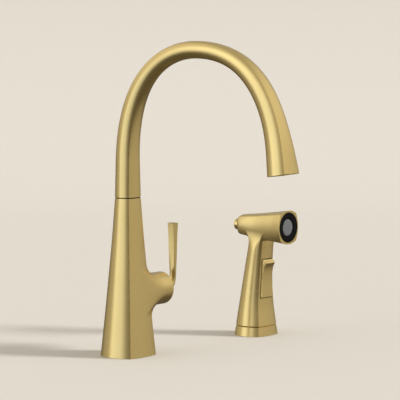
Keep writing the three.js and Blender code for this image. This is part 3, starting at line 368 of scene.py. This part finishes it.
# Brass with a satin brushed coat: warm, soft highlights drawn out along fine lines that run with the piece.
SATIN_BRASS = finish("satin brushed brass", ("#EED48F", "#E8CC86"), 0.28, metallic=1.0, spot=30.0,
                     stretch=(1.0, 0.02, 1.0), grain=(0.3, 0.015), source="UV", bump=0.0002)
# Brass as cast and machined: duller and browner, with the small pits of the casting.
CAST_BRASS = finish("cast and machined brass", ("#A98A4E", "#8E7238"), 0.45, metallic=1.0, spot=4.0,
                    grain=(0.5, 0.08), bump=0.02)
# Stainless steel wire and screws: bright, cool grey, faintly drawn.
STEEL = finish("drawn stainless steel", ("#C4C6C8", "#AEB1B4"), 0.28, metallic=1.0, spot=5.0,
               stretch=(1, 1, 0.1), grain=(0.2, 0.06), bump=0.003)
# Black acetal: moulded, a low sheen broken by a fine spark grain.
BLACK_PLASTIC = finish("moulded black acetal", ("#060607", "#0A0A0B"), 0.5, spot=6.0, grain=(0.25, 0.06),
                       bump=0.015, shader={"Specular IOR Level": 0.1})
# Grey silicone face: soft, almost matt, slightly mottled.
GREY_SILICONE = finish("moulded grey silicone", ("#66686A", "#5C5E60"), 0.6, spot=4.0, grain=(0.3, 0.05),
                       bump=0.02)
# White polypropylene: moulded, faintly waxy.
WHITE_PLASTIC = finish("moulded white polypropylene", ("#EFEDE8", "#E6E3DC"), 0.45, spot=8.0, grain=(0.3, 0.05),
                       bump=0.01)
# Natural nylon: creamy and slightly translucent.
NYLON = finish("natural nylon", ("#DDD8CA", "#D1CBBA"), 0.5, spot=8.0, grain=(0.3, 0.05), bump=0.01,
               shader={"Subsurface Weight": 0.1, "Subsurface Scale": 0.001})
# Alumina ceramic discs: lapped flat, hard and smooth.
CERAMIC = finish("lapped alumina ceramic", ("#ECE9E2", "#E4E0D7"), 0.18, spot=5.0, grain=(0.1, 0.03),
                 bump=0.001)
# EPDM rubber: matt black with a dusty grain.
RUBBER = finish("moulded black rubber", ("#232324", "#2B2B2C"), 0.8, spot=5.0, grain=(0.3, 0.06), bump=0.02)

CARRIED = {
    "finish_brass": SATIN_BRASS, "inner_brass": CAST_BRASS, "steel": STEEL, "black_plastic": BLACK_PLASTIC,
    "grey_plastic": GREY_SILICONE, "white_plastic": WHITE_PLASTIC, "nylon": NYLON, "ceramic": CERAMIC,
    "rubber": RUBBER,
}


# ------------------------------------------------------------------ faucet body and handle boss
def body_grid(heights, u, v):
    """The body's outer surface: its section at each height, from wide at the deck to slim at the seam."""
    width, depth = station(BODY_STATIONS, heights / BODY_TOP)
    x, y = section(u, v, width[:, None], depth[:, None])
    return np.stack([x, y, heights[:, None] + 0 * x], axis=-1)


def body_skin():
    """The tapering column with its boss: a rectangle of the column's grid, from the middle of the front
    over the side to the middle of the back, is drawn out by Bezier rows on to the round drum."""
    u, v, c = ring_outline()
    low, high = BOSS_HEIGHT - BOSS_FLOW, BOSS_HEIGHT + BOSS_FLOW
    inner = low + (high - low) * eased(41)
    heights = np.concatenate([BODY_FOOT + (low - BODY_FOOT) * np.linspace(0, 1, 15)[:-1], inner,
                              high + (BODY_TOP - high) * np.linspace(0, 1, 30)[1:]])
    grid = body_grid(heights, u, v)
    rows, columns = (14, 54), (0, int(np.argmin(np.abs(c - 4))))
    r, k = hole_edge(rows, columns)
    a = c[k] - 2
    b = (heights[r] - BOSS_HEIGHT) / (high - low) * 2
    edge = grid[r, k]
    way = leaving(grid, r, k, a, b)
    on_side = np.abs(np.abs(b) - 1) < 1e-6
    # where each edge point lands on the drum: degrees above or below its level
    angle = np.radians(np.where(on_side, np.interp(2 - np.abs(a), (0, 1, 2), (26, 53, 90)), 26 * np.abs(b)))
    drum = np.stack([np.full_like(a, BOSS_START), np.sign(a) * BOSS_RADIUS * np.cos(angle),
                     BOSS_HEIGHT + np.sign(b) * BOSS_RADIUS * np.sin(angle)], axis=-1)
    reach = np.interp(np.abs(a), (0, 1, 2), (13.0, 13.0, 15.0))[:, None]
    flow = bezier(edge, edge + reach * way, drum - np.array([20.0, 0, 0]), drum, 30)
    direction = unit(drum - np.array([BOSS_START, 0, BOSS_HEIGHT]))
    profile = rounded([(BOSS_RADIUS, BOSS_START), (BOSS_RADIUS, BOSS_END), (BOSS_BORE + 0.1, BOSS_END),
                       (BOSS_BORE, BOSS_END - 9)], 0.9)
    tube = np.array([0, 0, BOSS_HEIGHT]) + profile[:, 0, None, None] * direction
    tube = tube + np.array([1.0, 0, 0]) * profile[:, 1, None, None]
    return [without(grid, rows, columns), flow, tube, fan(tube[-1]), fan(grid[0]), fan(grid[-1])]


# ------------------------------------------------------------------ spout
def spout_path(samples=260):
    """Centre line in the X = 0 plane as (reach, height): a straight stem, a cubic rise to the crown and a
    cubic fall to the outlet, sampled evenly by length."""
    t = np.linspace(0, 1, 400)[:, None]
    at_crown = station(SPOUT_STATIONS, 0.5)
    crown = SPOUT_HEIGHT - at_crown[1] - CROWN_BULGE * at_crown[0]
    fall = 0.3 * (crown - OUTLET_HEIGHT)

    def cubic(p0, p1, p2, p3):
        p0, p1, p2, p3 = (np.array(p, float) for p in (p0, p1, p2, p3))
        return (1 - t) ** 3 * p0 + 3 * (1 - t) ** 2 * t * p1 + 3 * (1 - t) * t**2 * p2 + t**3 * p3

    stem = np.array([0, SPOUT_FOOT]) * (1 - t) + np.array([0, SPOUT_STEM_TOP]) * t
    rise = cubic((0, SPOUT_STEM_TOP), (0, SPOUT_STEM_TOP + 0.82 * (crown - SPOUT_STEM_TOP)),
                 (0.61 * CROWN_REACH, crown), (CROWN_REACH, crown))
    drop = cubic((CROWN_REACH, crown), (CROWN_REACH + 0.857 * (OUTLET_REACH - CROWN_REACH), crown),
                 (OUTLET_REACH - fall * math.tan(OUTLET_TILT), OUTLET_HEIGHT + fall),
                 (OUTLET_REACH, OUTLET_HEIGHT))
    line = np.concatenate([stem, rise[1:], drop[1:]])
    length = np.append(0, np.linalg.norm(np.diff(line, axis=0), axis=1).cumsum())
    even = np.linspace(0, length[-1], samples)
    return np.stack([np.interp(even, length, line[:, k]) for k in (0, 1)], axis=-1)


def spout_skin():
    """The spout's section carried along its centre line, then turned in over the wall at the outlet."""
    u, v, _ = ring_outline()
    line = spout_path()
    tangent = unit(np.gradient(line, axis=0))
    tangent[0], tangent[-1] = (0, 1), (math.sin(OUTLET_TILT), -math.cos(OUTLET_TILT))
    at = np.linspace(0, 1, len(line))
    width, depth = station(SPOUT_STATIONS, at)
    face = FACE_BULGE + (CROWN_BULGE - FACE_BULGE) * np.sin(np.pi * at) ** 2

    def ring(inset, which):
        x, y = section(u, v, (width[which] - inset)[:, None], (depth[which] - inset)[:, None],
                       face[which, None])
        out, up = tangent[which, 1, None], -tangent[which, 0, None]
        return np.stack([x, -(line[which, 0, None] - y * out), line[which, 1, None] - y * up], axis=-1)

    outer = ring(0.0, np.arange(len(line)))
    end = np.arange(len(line) - 1, len(line))
    down = np.array([0, -tangent[-1, 0], tangent[-1, 1]])
    lip = ring(LIP_EDGE, end)
    inner = ring(SPOUT_WALL, end)
    outer[-1] = outer[-1] - LIP_EDGE * down
    inside = inner - 1.4 * down
    hollow = (inside[0].mean(axis=0) + unit(inside[0] - inside[0].mean(axis=0)) * OUTLET_BORE)[None]
    deep = hollow - OUTLET_DEPTH * down
    turned_in = np.concatenate([outer[-1:], lip, inner, inside, hollow, deep])
    return [outer, turned_in, fan(deep[0]), fan(outer[0])]


# ------------------------------------------------------------------ lever
def lever_skin():
    """The lever: a lens shaped neck that leaves the ball cap, sweeps up and turns into a flat blade that
    flares to its square tip. Its section goes from nearly round to four flat sides along the way."""
    t = np.linspace(0, 1, 60)[:, None]
    p = [np.array(q, float) for q in LEVER_NECK]
    sweep = (1 - t) ** 3 * p[0] + 3 * (1 - t) ** 2 * t * p[1] + 3 * (1 - t) * t**2 * p[2] + t**3 * p[3]
    blade = np.stack([np.full(60, LEVER_REACH), np.linspace(LEVER_NECK[-1][1], LEVER_TOP, 60)], axis=-1)
    line = np.concatenate([sweep, blade[1:]])
    length = np.append(0, np.linalg.norm(np.diff(line, axis=0), axis=1).cumsum())
    even = np.linspace(0, length[-1], 150)
    line = np.stack([np.interp(even, length, line[:, k]) for k in (0, 1)], axis=-1)
    tangent = unit(np.gradient(line, axis=0))
    tangent[-1] = (0, 1)
    at = even / length[-1]
    u, v, _ = ring_outline(12, 4, 0.09)

    def ease(low, high):
        share = np.clip((at - low) / (high - low), 0, 1)
        return share**2 * (3 - 2 * share)

    flat = ease(0.1, 0.35)
    flare = at**5
    thick = NECK_THICK * (1 - flat) + (BLADE_THICK + 3.5 * flare) * flat
    wide = BLADE_WIDE + 1.6 * flare
    round_share = (1 - ease(0.15, 0.7))[:, None]
    size = np.sqrt(u**2 + v**2)
    half = np.maximum(np.abs(u), np.abs(v))
    round_u, round_v = u / size * half, v / size * half
    su = u * (1 - round_share) + round_u * round_share
    sv = v * (1 - round_share) + round_v * round_share
    y = su * wide[:, None] / 2
    n = sv * thick[:, None] / 2
    x = line[:, 0, None] + n * tangent[:, 1, None]
    z = line[:, 1, None] - n * tangent[:, 0, None]
    grid = np.stack([x, y, z], axis=-1)
    top = grid[-1]
    middle = top.mean(axis=0)
    grid[-1] = top - np.array([0, 0, 0.3])
    rim = (middle + (top - middle) * 0.93)[None]
    return [grid, np.concatenate([grid[-1:], rim]), fan(rim[0]), fan(grid[0])]


def ball_skin():
    """The ball cap: a ball about the tilting point, open behind, with a thin wall."""
    angle = np.linspace(0, math.radians(72), 30)
    outside = np.stack([BALL_RADIUS * np.sin(angle), TILT_CENTRE + BALL_RADIUS * np.cos(angle)], axis=-1)
    inner = BALL_RADIUS - BALL_WALL
    inside = np.stack([inner * np.sin(angle[::-1]), TILT_CENTRE + inner * np.cos(angle[::-1])], axis=-1)
    return [along_x(turned(np.concatenate([outside, inside])), 0, BOSS_HEIGHT)]


# ------------------------------------------------------------------ side spray
def lean(heights):
    """How far the handle has curved forward: none below its start, then more and more up to the head."""
    return HANDLE_LEAN * np.clip((heights - LEAN_START) / (LEAN_END - LEAN_START), 0, 1) ** LEAN_CURVE


def handle_rows(heights, u, v):
    """The handle's outer surface: its section at each height, moved forward along the handle's curve."""
    heights = heights.reshape(len(heights), -1)
    width, depth = station(HANDLE_STATIONS, (heights - HANDLE_FOOT) / (HANDLE_TOP - HANDLE_FOOT))
    x, y = section(u, v, width, depth)
    return np.stack([x, y - lean(heights), heights + 0 * x], axis=-1)


def soften(u, v, radius):
    """A square's outline with the points near each corner moved on to a quarter circle."""
    a, b = np.maximum(np.abs(u) - 1 + radius, 0), np.maximum(np.abs(v) - 1 + radius, 0)
    long = np.maximum(np.hypot(a, b), 1e-9)
    near = (a > 0) & (b > 0)
    scale = radius / long
    new_u = np.where(near, 1 - radius + a * scale, np.abs(u))
    new_v = np.where(near, 1 - radius + b * scale, np.abs(v))
    return np.sign(u) * new_u, np.sign(v) * new_v


def wand_skin():
    """Head and handle in one: the head's barrel lies along Y, and a rectangle of its grid, from the middle
    of one side under the barrel to the middle of the other, is drawn down on to the handle's section."""
    s, t, c = ring_outline(18)
    u, v = t, -s
    inner = NECK_BACK + (NECK_FRONT - NECK_BACK) * eased(31)
    back = HEAD_BACK - (HEAD_BACK - NECK_BACK) * (1 - np.cos(np.pi / 2 * np.linspace(0, 1, 16)[:-1]))
    y = np.concatenate([back, inner, NECK_FRONT + (HEAD_FRONT - NECK_FRONT) * np.linspace(0, 1, 26)[1:]])
    at = (y - HEAD_BACK) / (HEAD_FRONT - HEAD_BACK)
    width, depth = station(HEAD_STATIONS, at)
    late = np.clip((y - (HEAD_BACK - BACK_ROUND)) / BACK_ROUND, 0, 1)
    shrink = BACK_SHRINK * (1 - np.sqrt(1 - late**2))
    lower = station(HEAD_UNDERSIDE, at)
    flat = HEAD_FLATTENING * np.sin(np.pi * at)
    width = (width + flat * depth - shrink)[:, None]
    depth = np.where(v < 0, lower[0][:, None], depth[:, None]) - shrink[:, None]
    face = np.where(v < 0, lower[1][:, None], HEAD_BULGE)
    x, z = section(u, v, width, depth, face, (HEAD_BULGE - flat)[:, None])
    grid = np.stack([x, y[:, None] + 0 * x, HEAD_HEIGHT + z], axis=-1)
    rows = (15, 45)
    columns = (int(np.argmin(np.abs(c - 2 + NECK_WRAP))), int(np.argmin(np.abs(c - 2 - NECK_WRAP))))
    r, k = hole_edge(rows, columns)
    a = c[k] - 2
    a = np.sign(a) * np.where(np.abs(a) > 1, 1 + (np.abs(a) - 1) / (np.abs(a).max() - 1), np.abs(a))
    b = (y[r] - (NECK_FRONT + NECK_BACK) / 2) / (NECK_BACK - NECK_FRONT) * 2
    edge = grid[r, k]
    flip = leaving(grid[::-1], len(y) - 1 - r, k, a, b)
    on_end = np.abs(np.abs(b) - 1) < 1e-6
    hu = np.clip(a, -1, 1)
    hv = np.where(on_end, np.sign(b) * (1 - 0.28 * np.clip(np.abs(a) - 1, 0, 1)), 0.72 * b)
    hu, hv = soften(hu, hv, 0.05)
    top = NECK_HEIGHT - NECK_DROP * np.clip(np.abs(a) - 1, 0, 1)
    below, neck, above = handle_rows(np.stack([top - 0.5, top, top + 0.5]), hu, hv)
    reach = np.interp(np.abs(a), (0, 1, 2), (4.0, 5.0, 10.0))[:, None]
    pull = np.interp(np.abs(a), (0, 1, 2), (4.0, 4.5, 10.0))[:, None]
    flow = bezier(edge, edge + reach * flip, neck + pull * (above - below), neck, 26)
    low, high = TRIGGER_BOTTOM, TRIGGER_TOP
    under = np.linspace(low, HANDLE_FOOT + EDGE_HEIGHT, 14)[1:]
    heights = np.concatenate([np.linspace(high, low, 20), under, [HANDLE_FOOT]])
    heights = np.concatenate([np.linspace(top, high + 0 * top, 8)[:-1], heights[:, None] + 0 * top])
    handle = handle_rows(heights, hu, hv)
    handle[-1] *= EASED
    front = np.where((np.abs(b + 1) < 1e-6) & (np.abs(a) < POCKET_SHARE))[0]
    span, depth_rows = (front.min(), front.max()), (7, 26)
    pr, pk = hole_edge(depth_rows, span)
    mouth = handle[pr, pk]
    inward = np.array([0, TRIGGER_POCKET, 0])
    pocket = np.stack([mouth, mouth + inward])
    bottom = handle[depth_rows[0] : depth_rows[1] + 1, span[0] : span[1] + 1] + inward
    # The round opening for the nozzle in the front, with a narrower seat behind it, and the button's bore
    # in the back: the row it is in, its radius, the way in, its depth and the radius of its seat.
    openings = ((len(y) - 1, NOZZLE_RADIUS + 0.3, 1.0, NOZZLE_RECESS, NOZZLE_SEAT),
                (0, BUTTON_BORE, -1.0, BUTTON_DEPTH, 0))
    ends = []
    for row, radius, away, deep, rim in openings:
        loop = grid[row]
        ray = unit((loop - np.array([0, loop[0, 1], HEAD_HEIGHT])) * np.array([1, 0, 1]))
        centre = np.array([0, loop[0, 1], HEAD_HEIGHT])
        step = np.array([0, away, 0])
        mouth_ring = centre + radius * ray
        inside = mouth_ring + deep * step
        sheets = [loop, mouth_ring, inside]
        if rim:
            sheets += [centre + deep * step + rim * ray, centre + (deep + SEAT_DEPTH) * step + rim * ray]
        ends += [np.stack(sheets), fan(sheets[-1])]
    sheets = [without(grid, rows, columns), flow, without(handle, depth_rows, span), pocket, bottom,
              fan(handle[-1])] + ends
    return [(sheet[0] + SPRAY_AT, sheet[1]) if isinstance(sheet, tuple) else sheet + SPRAY_AT
            for sheet in sheets]


def trigger_skin():
    """The trigger: a flat face a little proud of the handle's front, rising to a lip near the top, with
    steep slopes down both of its edges and one closing it over the lip."""
    low, high = TRIGGER_BOTTOM + TRIGGER_GAP[0], TRIGGER_TOP - TRIGGER_GAP[1]
    edge = high - LIP_SLOPE
    z = np.concatenate([np.linspace(low, edge, 46), np.linspace(edge, high, 9)[1:]])
    up = np.clip((z - low) / (edge - low), 0, 1)
    rise = LIP_RISE * up**7 - TRIGGER_DISH * np.sin(np.pi * up) ** 2
    rise = np.where(z > edge, LIP_RISE * (high - z) / LIP_SLOPE, rise)
    width, depth = station(HANDLE_STATIONS, (z - HANDLE_FOOT) / (HANDLE_TOP - HANDLE_FOOT))
    half = width * 0.8 - 0.8
    u, v, _ = ring_outline(16, 2, 0.03)
    x = u * half[:, None]
    slope_width = (0.4 + 0.6 * up**3)[:, None]
    slope_depth = (3.2 + np.maximum(rise, 0) * 0.9)[:, None]
    beside = np.clip((np.abs(x) - (half[:, None] - slope_width)) / slope_width, 0, 1)
    crown = (depth + FACE_BULGE * width + TRIGGER_PROUD + lean(z) + rise)[:, None]
    face = -crown + slope_depth * beside + 0.4 * (x / half[:, None]) ** 2
    back = -(depth + lean(z))[:, None] + TRIGGER_DEPTH + 0 * x
    y = face + (back - face) * (v + 1) / 2
    grid = np.stack([x, y, z[:, None] + 0 * x], axis=-1) + SPRAY_AT
    return [grid, fan(grid[0]), fan(grid[-1])]


def holder_skin():
    """The spray's holder: a low foot with the handle's section and a round bore."""
    u, v, _ = ring_outline()
    heights = np.append(np.linspace(BODY_FOOT, HOLDER_TOP - EDGE_HEIGHT, 12), HOLDER_TOP)
    width, depth = station(HOLDER_STATIONS, heights / HOLDER_TOP)
    x, y = section(u, v, width[:, None], depth[:, None])
    grid = np.stack([x, y, heights[:, None] + 0 * x], axis=-1)
    grid[-1] *= EASED
    ray = unit(grid[0] * np.array([1, 1, 0]))
    top = ray * HOLDER_BORE + np.array([0, 0, HOLDER_TOP])
    low = ray * HOLDER_BORE + np.array([0, 0, BODY_FOOT])
    return [grid + SPRAY_AT, np.stack([grid[-1], top, low, grid[0]]) + SPRAY_AT]


def nozzle_skin():
    """The black nozzle ring: a flat rim with a rounded edge, a sloping funnel and a body behind."""
    front = -HEAD_FRONT - 0.5
    bore, body = 11.3, 15
    back, step = front - 9, front - 1.4
    profile = rounded([(bore, back), (body, back), (body, step), (NOZZLE_RADIUS, step),
                       (NOZZLE_RADIUS, front), (bore + 0.7, front), (bore, front - 0.7), (bore, back)], 0.5)
    return [along_minus_y(turned(profile, 128), 0, 0, HEAD_HEIGHT) + SPRAY_AT]


def spray_face_skin():
    """The grey spray face: a shallow dome with seventeen small raised nozzles, each a smooth bump."""
    front = -HEAD_FRONT - 0.7
    radius = np.linspace(0, SPRAY_FACE_RADIUS, 70)[:, None]
    angle = np.linspace(0, 2 * np.pi, 181)[None]
    x, z = radius * np.cos(angle), radius * np.sin(angle)
    height = front - 0.9 * (radius / SPRAY_FACE_RADIUS) ** 4 + 0 * angle
    for count, ring in ((1, 0.0), (6, 4.0), (10, 8.0)):
        turn = np.arange(count)[:, None, None] / count * 2 * np.pi
        away = np.hypot(x - ring * np.cos(turn), z - ring * np.sin(turn))
        height = height + 0.55 * np.exp(-((away / 0.95) ** 4)).sum(axis=0)
    dome = np.stack([x, -height, HEAD_HEIGHT + z], axis=-1)
    back = dome[-1] * np.array([1, 0, 1]) + np.array([0, -(front - 4), 0])
    return [dome + SPRAY_AT, np.stack([dome[-1], back]) + SPRAY_AT, fan(back) + SPRAY_AT]


def washer_skin():
    """The black washer in the seam under the spout: the body's section at its top, drawn in a little."""
    u, v, _ = ring_outline()
    heights = np.array([WASHER_LOW, WASHER_HIGH])
    grid = body_grid(np.array([BODY_TOP, BODY_TOP]), u, v) * np.array([WASHER_SHARE, WASHER_SHARE, 0])
    grid = grid + heights[:, None, None] * np.array([0, 0, 1.0])
    bore = unit(grid * np.array([1, 1, 0])) * WASHER_BORE + heights[:, None, None] * np.array([0, 0, 1.0])
    return [np.stack([bore[0], grid[0], grid[1], bore[1], bore[0]])]


def button_skin():
    """The button at the back of the head: a short round knob with a softly rounded edge."""
    outer = -(HEAD_BACK + BUTTON_PROUD)
    stem, root, end = 2.4, -HEAD_BACK + 2, -HEAD_BACK + 12
    profile = rounded([(0, outer + 0.25), (4.6, outer + 0.15), (BUTTON_SHOWN, outer), (BUTTON_SHOWN, root),
                       (stem, root), (stem, end), (0, end)], 0.5)
    return [along_minus_y(turned(profile, 64), 0, 0, HEAD_HEIGHT) + SPRAY_AT]


skin("body_casing", body_skin(), SATIN_BRASS, "faucet_base", ["body_shell"])
skin("seam_washer", washer_skin(), BLACK_PLASTIC, "faucet_base", ["swivel_washer"])
skin("spout_casing", spout_skin(), SATIN_BRASS, "spout", ["spout_shell"])
skin("lever_blade", lever_skin(), SATIN_BRASS, "lever", ["lever_arm"])
skin("lever_ball", ball_skin(), SATIN_BRASS, "lever", ["ball_cap"])
skin("wand_casing", wand_skin(), SATIN_BRASS, "wand", ["wand_shell"])
skin("trigger_lever_face", trigger_skin(), SATIN_BRASS, "trigger_lever", ["trigger"])
skin("holder_foot", holder_skin(), SATIN_BRASS, "faucet_base", ["spray_holder"])
skin("nozzle_rim", nozzle_skin(), BLACK_PLASTIC, "wand", ["nozzle_ring"])
skin("spray_face_disc", spray_face_skin(), GREY_SILICONE, "wand", ["spray_face"])
skin("button_knob", button_skin(), SATIN_BRASS, "selector", ["mode_button"])

# ------------------------------------------------------------------ carried CAD pieces
slot_of = {row["node"]: row["material_slot"] for row in frame["record"]["subparts"]}
for name, piece in frame["nodes"].items():
    piece.data.materials.clear()
    piece.data.materials.append(CARRIED[slot_of[name]])

# ------------------------------------------------------------------ stage, light and camera
LOOK = Vector((0.7799, 0.6209, -0.0798))
RIGHT = Vector((0.623, -0.7822, 0.0))
UP = Vector((0, 0, 1))
CAMERA_AT = (-1.9354, -1.6578, 0.4025)
CAMERA_LENS = 181.18

camera = bpy.data.objects.new("camera", bpy.data.cameras.new("camera"))
bpy.context.scene.collection.objects.link(camera)
camera.location = CAMERA_AT
camera.rotation_euler = LOOK.to_track_quat("-Z", "Y").to_euler()
camera.data.sensor_width = 36
camera.data.lens = CAMERA_LENS
camera.data.clip_end = 50
bpy.context.scene.camera = camera

# A pale sweep: floor, wide curve and wall in one sheet, square to the camera.
FLOOR_HALF, FLOOR_END, CURVE, WALL_TOP = 6, 2.2, 1.4, 6.0
bend = np.linspace(0, np.pi / 2, 24)[1:]
along = np.concatenate([np.linspace(-FLOOR_HALF, FLOOR_END, 20), FLOOR_END + CURVE * np.sin(bend),
                        [FLOOR_END + CURVE]])
lift = np.concatenate([np.zeros(20), CURVE * (1 - np.cos(bend)), [WALL_TOP]])
side = np.linspace(-FLOOR_HALF, FLOOR_HALF, 25)
ahead = np.array([LOOK.x, LOOK.y, 0]) / math.hypot(LOOK.x, LOOK.y)
aside = np.array([RIGHT.x, RIGHT.y, 0])
sweep = (np.array([0.1, -0.1, 0]) + along[:, None, None] * ahead + side[None, :, None] * aside
         + lift[:, None, None] * np.array([0, 0, 1.0]))
number = np.arange(sweep.shape[0] * sweep.shape[1]).reshape(sweep.shape[:2])
corners = [number[:-1, :-1], number[:-1, 1:], number[1:, 1:], number[1:, :-1]]
quads = np.stack(corners, axis=-1).reshape(-1, 4)
floor_mesh = bpy.data.meshes.new("sweep")
floor_mesh.from_pydata(sweep.reshape(-1, 3), [], quads)
floor_mesh.shade_smooth()
floor = bpy.data.objects.new("sweep", floor_mesh)
bpy.context.scene.collection.objects.link(floor)
BACKDROP = bpy.data.materials.new("plain pale backdrop")
BACKDROP.use_nodes = True
BACKDROP.node_tree.nodes.clear()
paint = add(BACKDROP.node_tree, "ShaderNodeBsdfPrincipled", None,
            {"Base Color": linear("#E6E0D6"), "Roughness": 0.9})
add(BACKDROP.node_tree, "ShaderNodeOutputMaterial", None, {"Surface": (paint, "BSDF")})
floor_mesh.materials.append(BACKDROP)

# One soft key from the right lays the shadows; the metal mirrors only the studio dome.
key_light = bpy.data.lights.new("key", "SUN")
key_light.energy = 3.0
key_light.angle = math.radians(14)
key = bpy.data.objects.new("key", key_light)
bpy.context.scene.collection.objects.link(key)
key.rotation_euler = (-(1.0 * RIGHT - 0.16 * LOOK + Vector((0, 0, 0.42)))).to_track_quat("-Z", "Y").to_euler()
key.visible_glossy = False
floor.visible_glossy = False

world = bpy.data.worlds.new("studio_dome")
bpy.context.scene.world = world
world.use_nodes = True
dome = world.node_tree
dome.nodes.clear()
facing = add(dome, "ShaderNodeTexCoord")
# Each glow of the dome: where it is, the angles inside which it is full and outside which it is gone,
# and its light. Below the horizon the dome is dim, as the dark floor of a studio is.
GLOWS = (
    ("overhead", UP, 66, 97, (0.36, 0.355, 0.34)),
    ("softbox on the camera's left", -0.83 * RIGHT - 0.56 * LOOK + 0.12 * UP, 20, 39, (0.76, 0.84, 0.98)),
    ("glow far left", -0.98 * RIGHT + 0.2 * LOOK + 0.3 * UP, 14, 50, (0.32, 0.31, 0.29)),
    ("glow right", 0.97 * RIGHT + 0.1 * LOOK + 0.3 * UP, 24, 60, (0.34, 0.33, 0.31)),
)
light = (0.115, 0.103, 0.085)
for name, direction, inner, outer, strength in GLOWS:
    near = add(dome, "ShaderNodeVectorMath", {"operation": "DOT_PRODUCT", "label": name},
               {0: (facing, "Generated"), 1: tuple(direction.normalized())})
    share = add(dome, "ShaderNodeMapRange", {"interpolation_type": "SMOOTHSTEP"},
                {"Value": (near, "Value"), "From Min": math.cos(math.radians(outer)),
                 "From Max": math.cos(math.radians(inner))})
    light = add(dome, "ShaderNodeVectorMath", {"operation": "MULTIPLY_ADD"},
                {0: (share, "Result"), 1: strength,
                 2: light if isinstance(light, tuple) else (light, "Vector")})
sky = add(dome, "ShaderNodeBackground", None, {"Color": (light, "Vector"), "Strength": 1.0})
add(dome, "ShaderNodeOutputWorld", None, {"Surface": (sky, "Background")})
bpy.context.scene.view_settings.view_transform = "Standard"
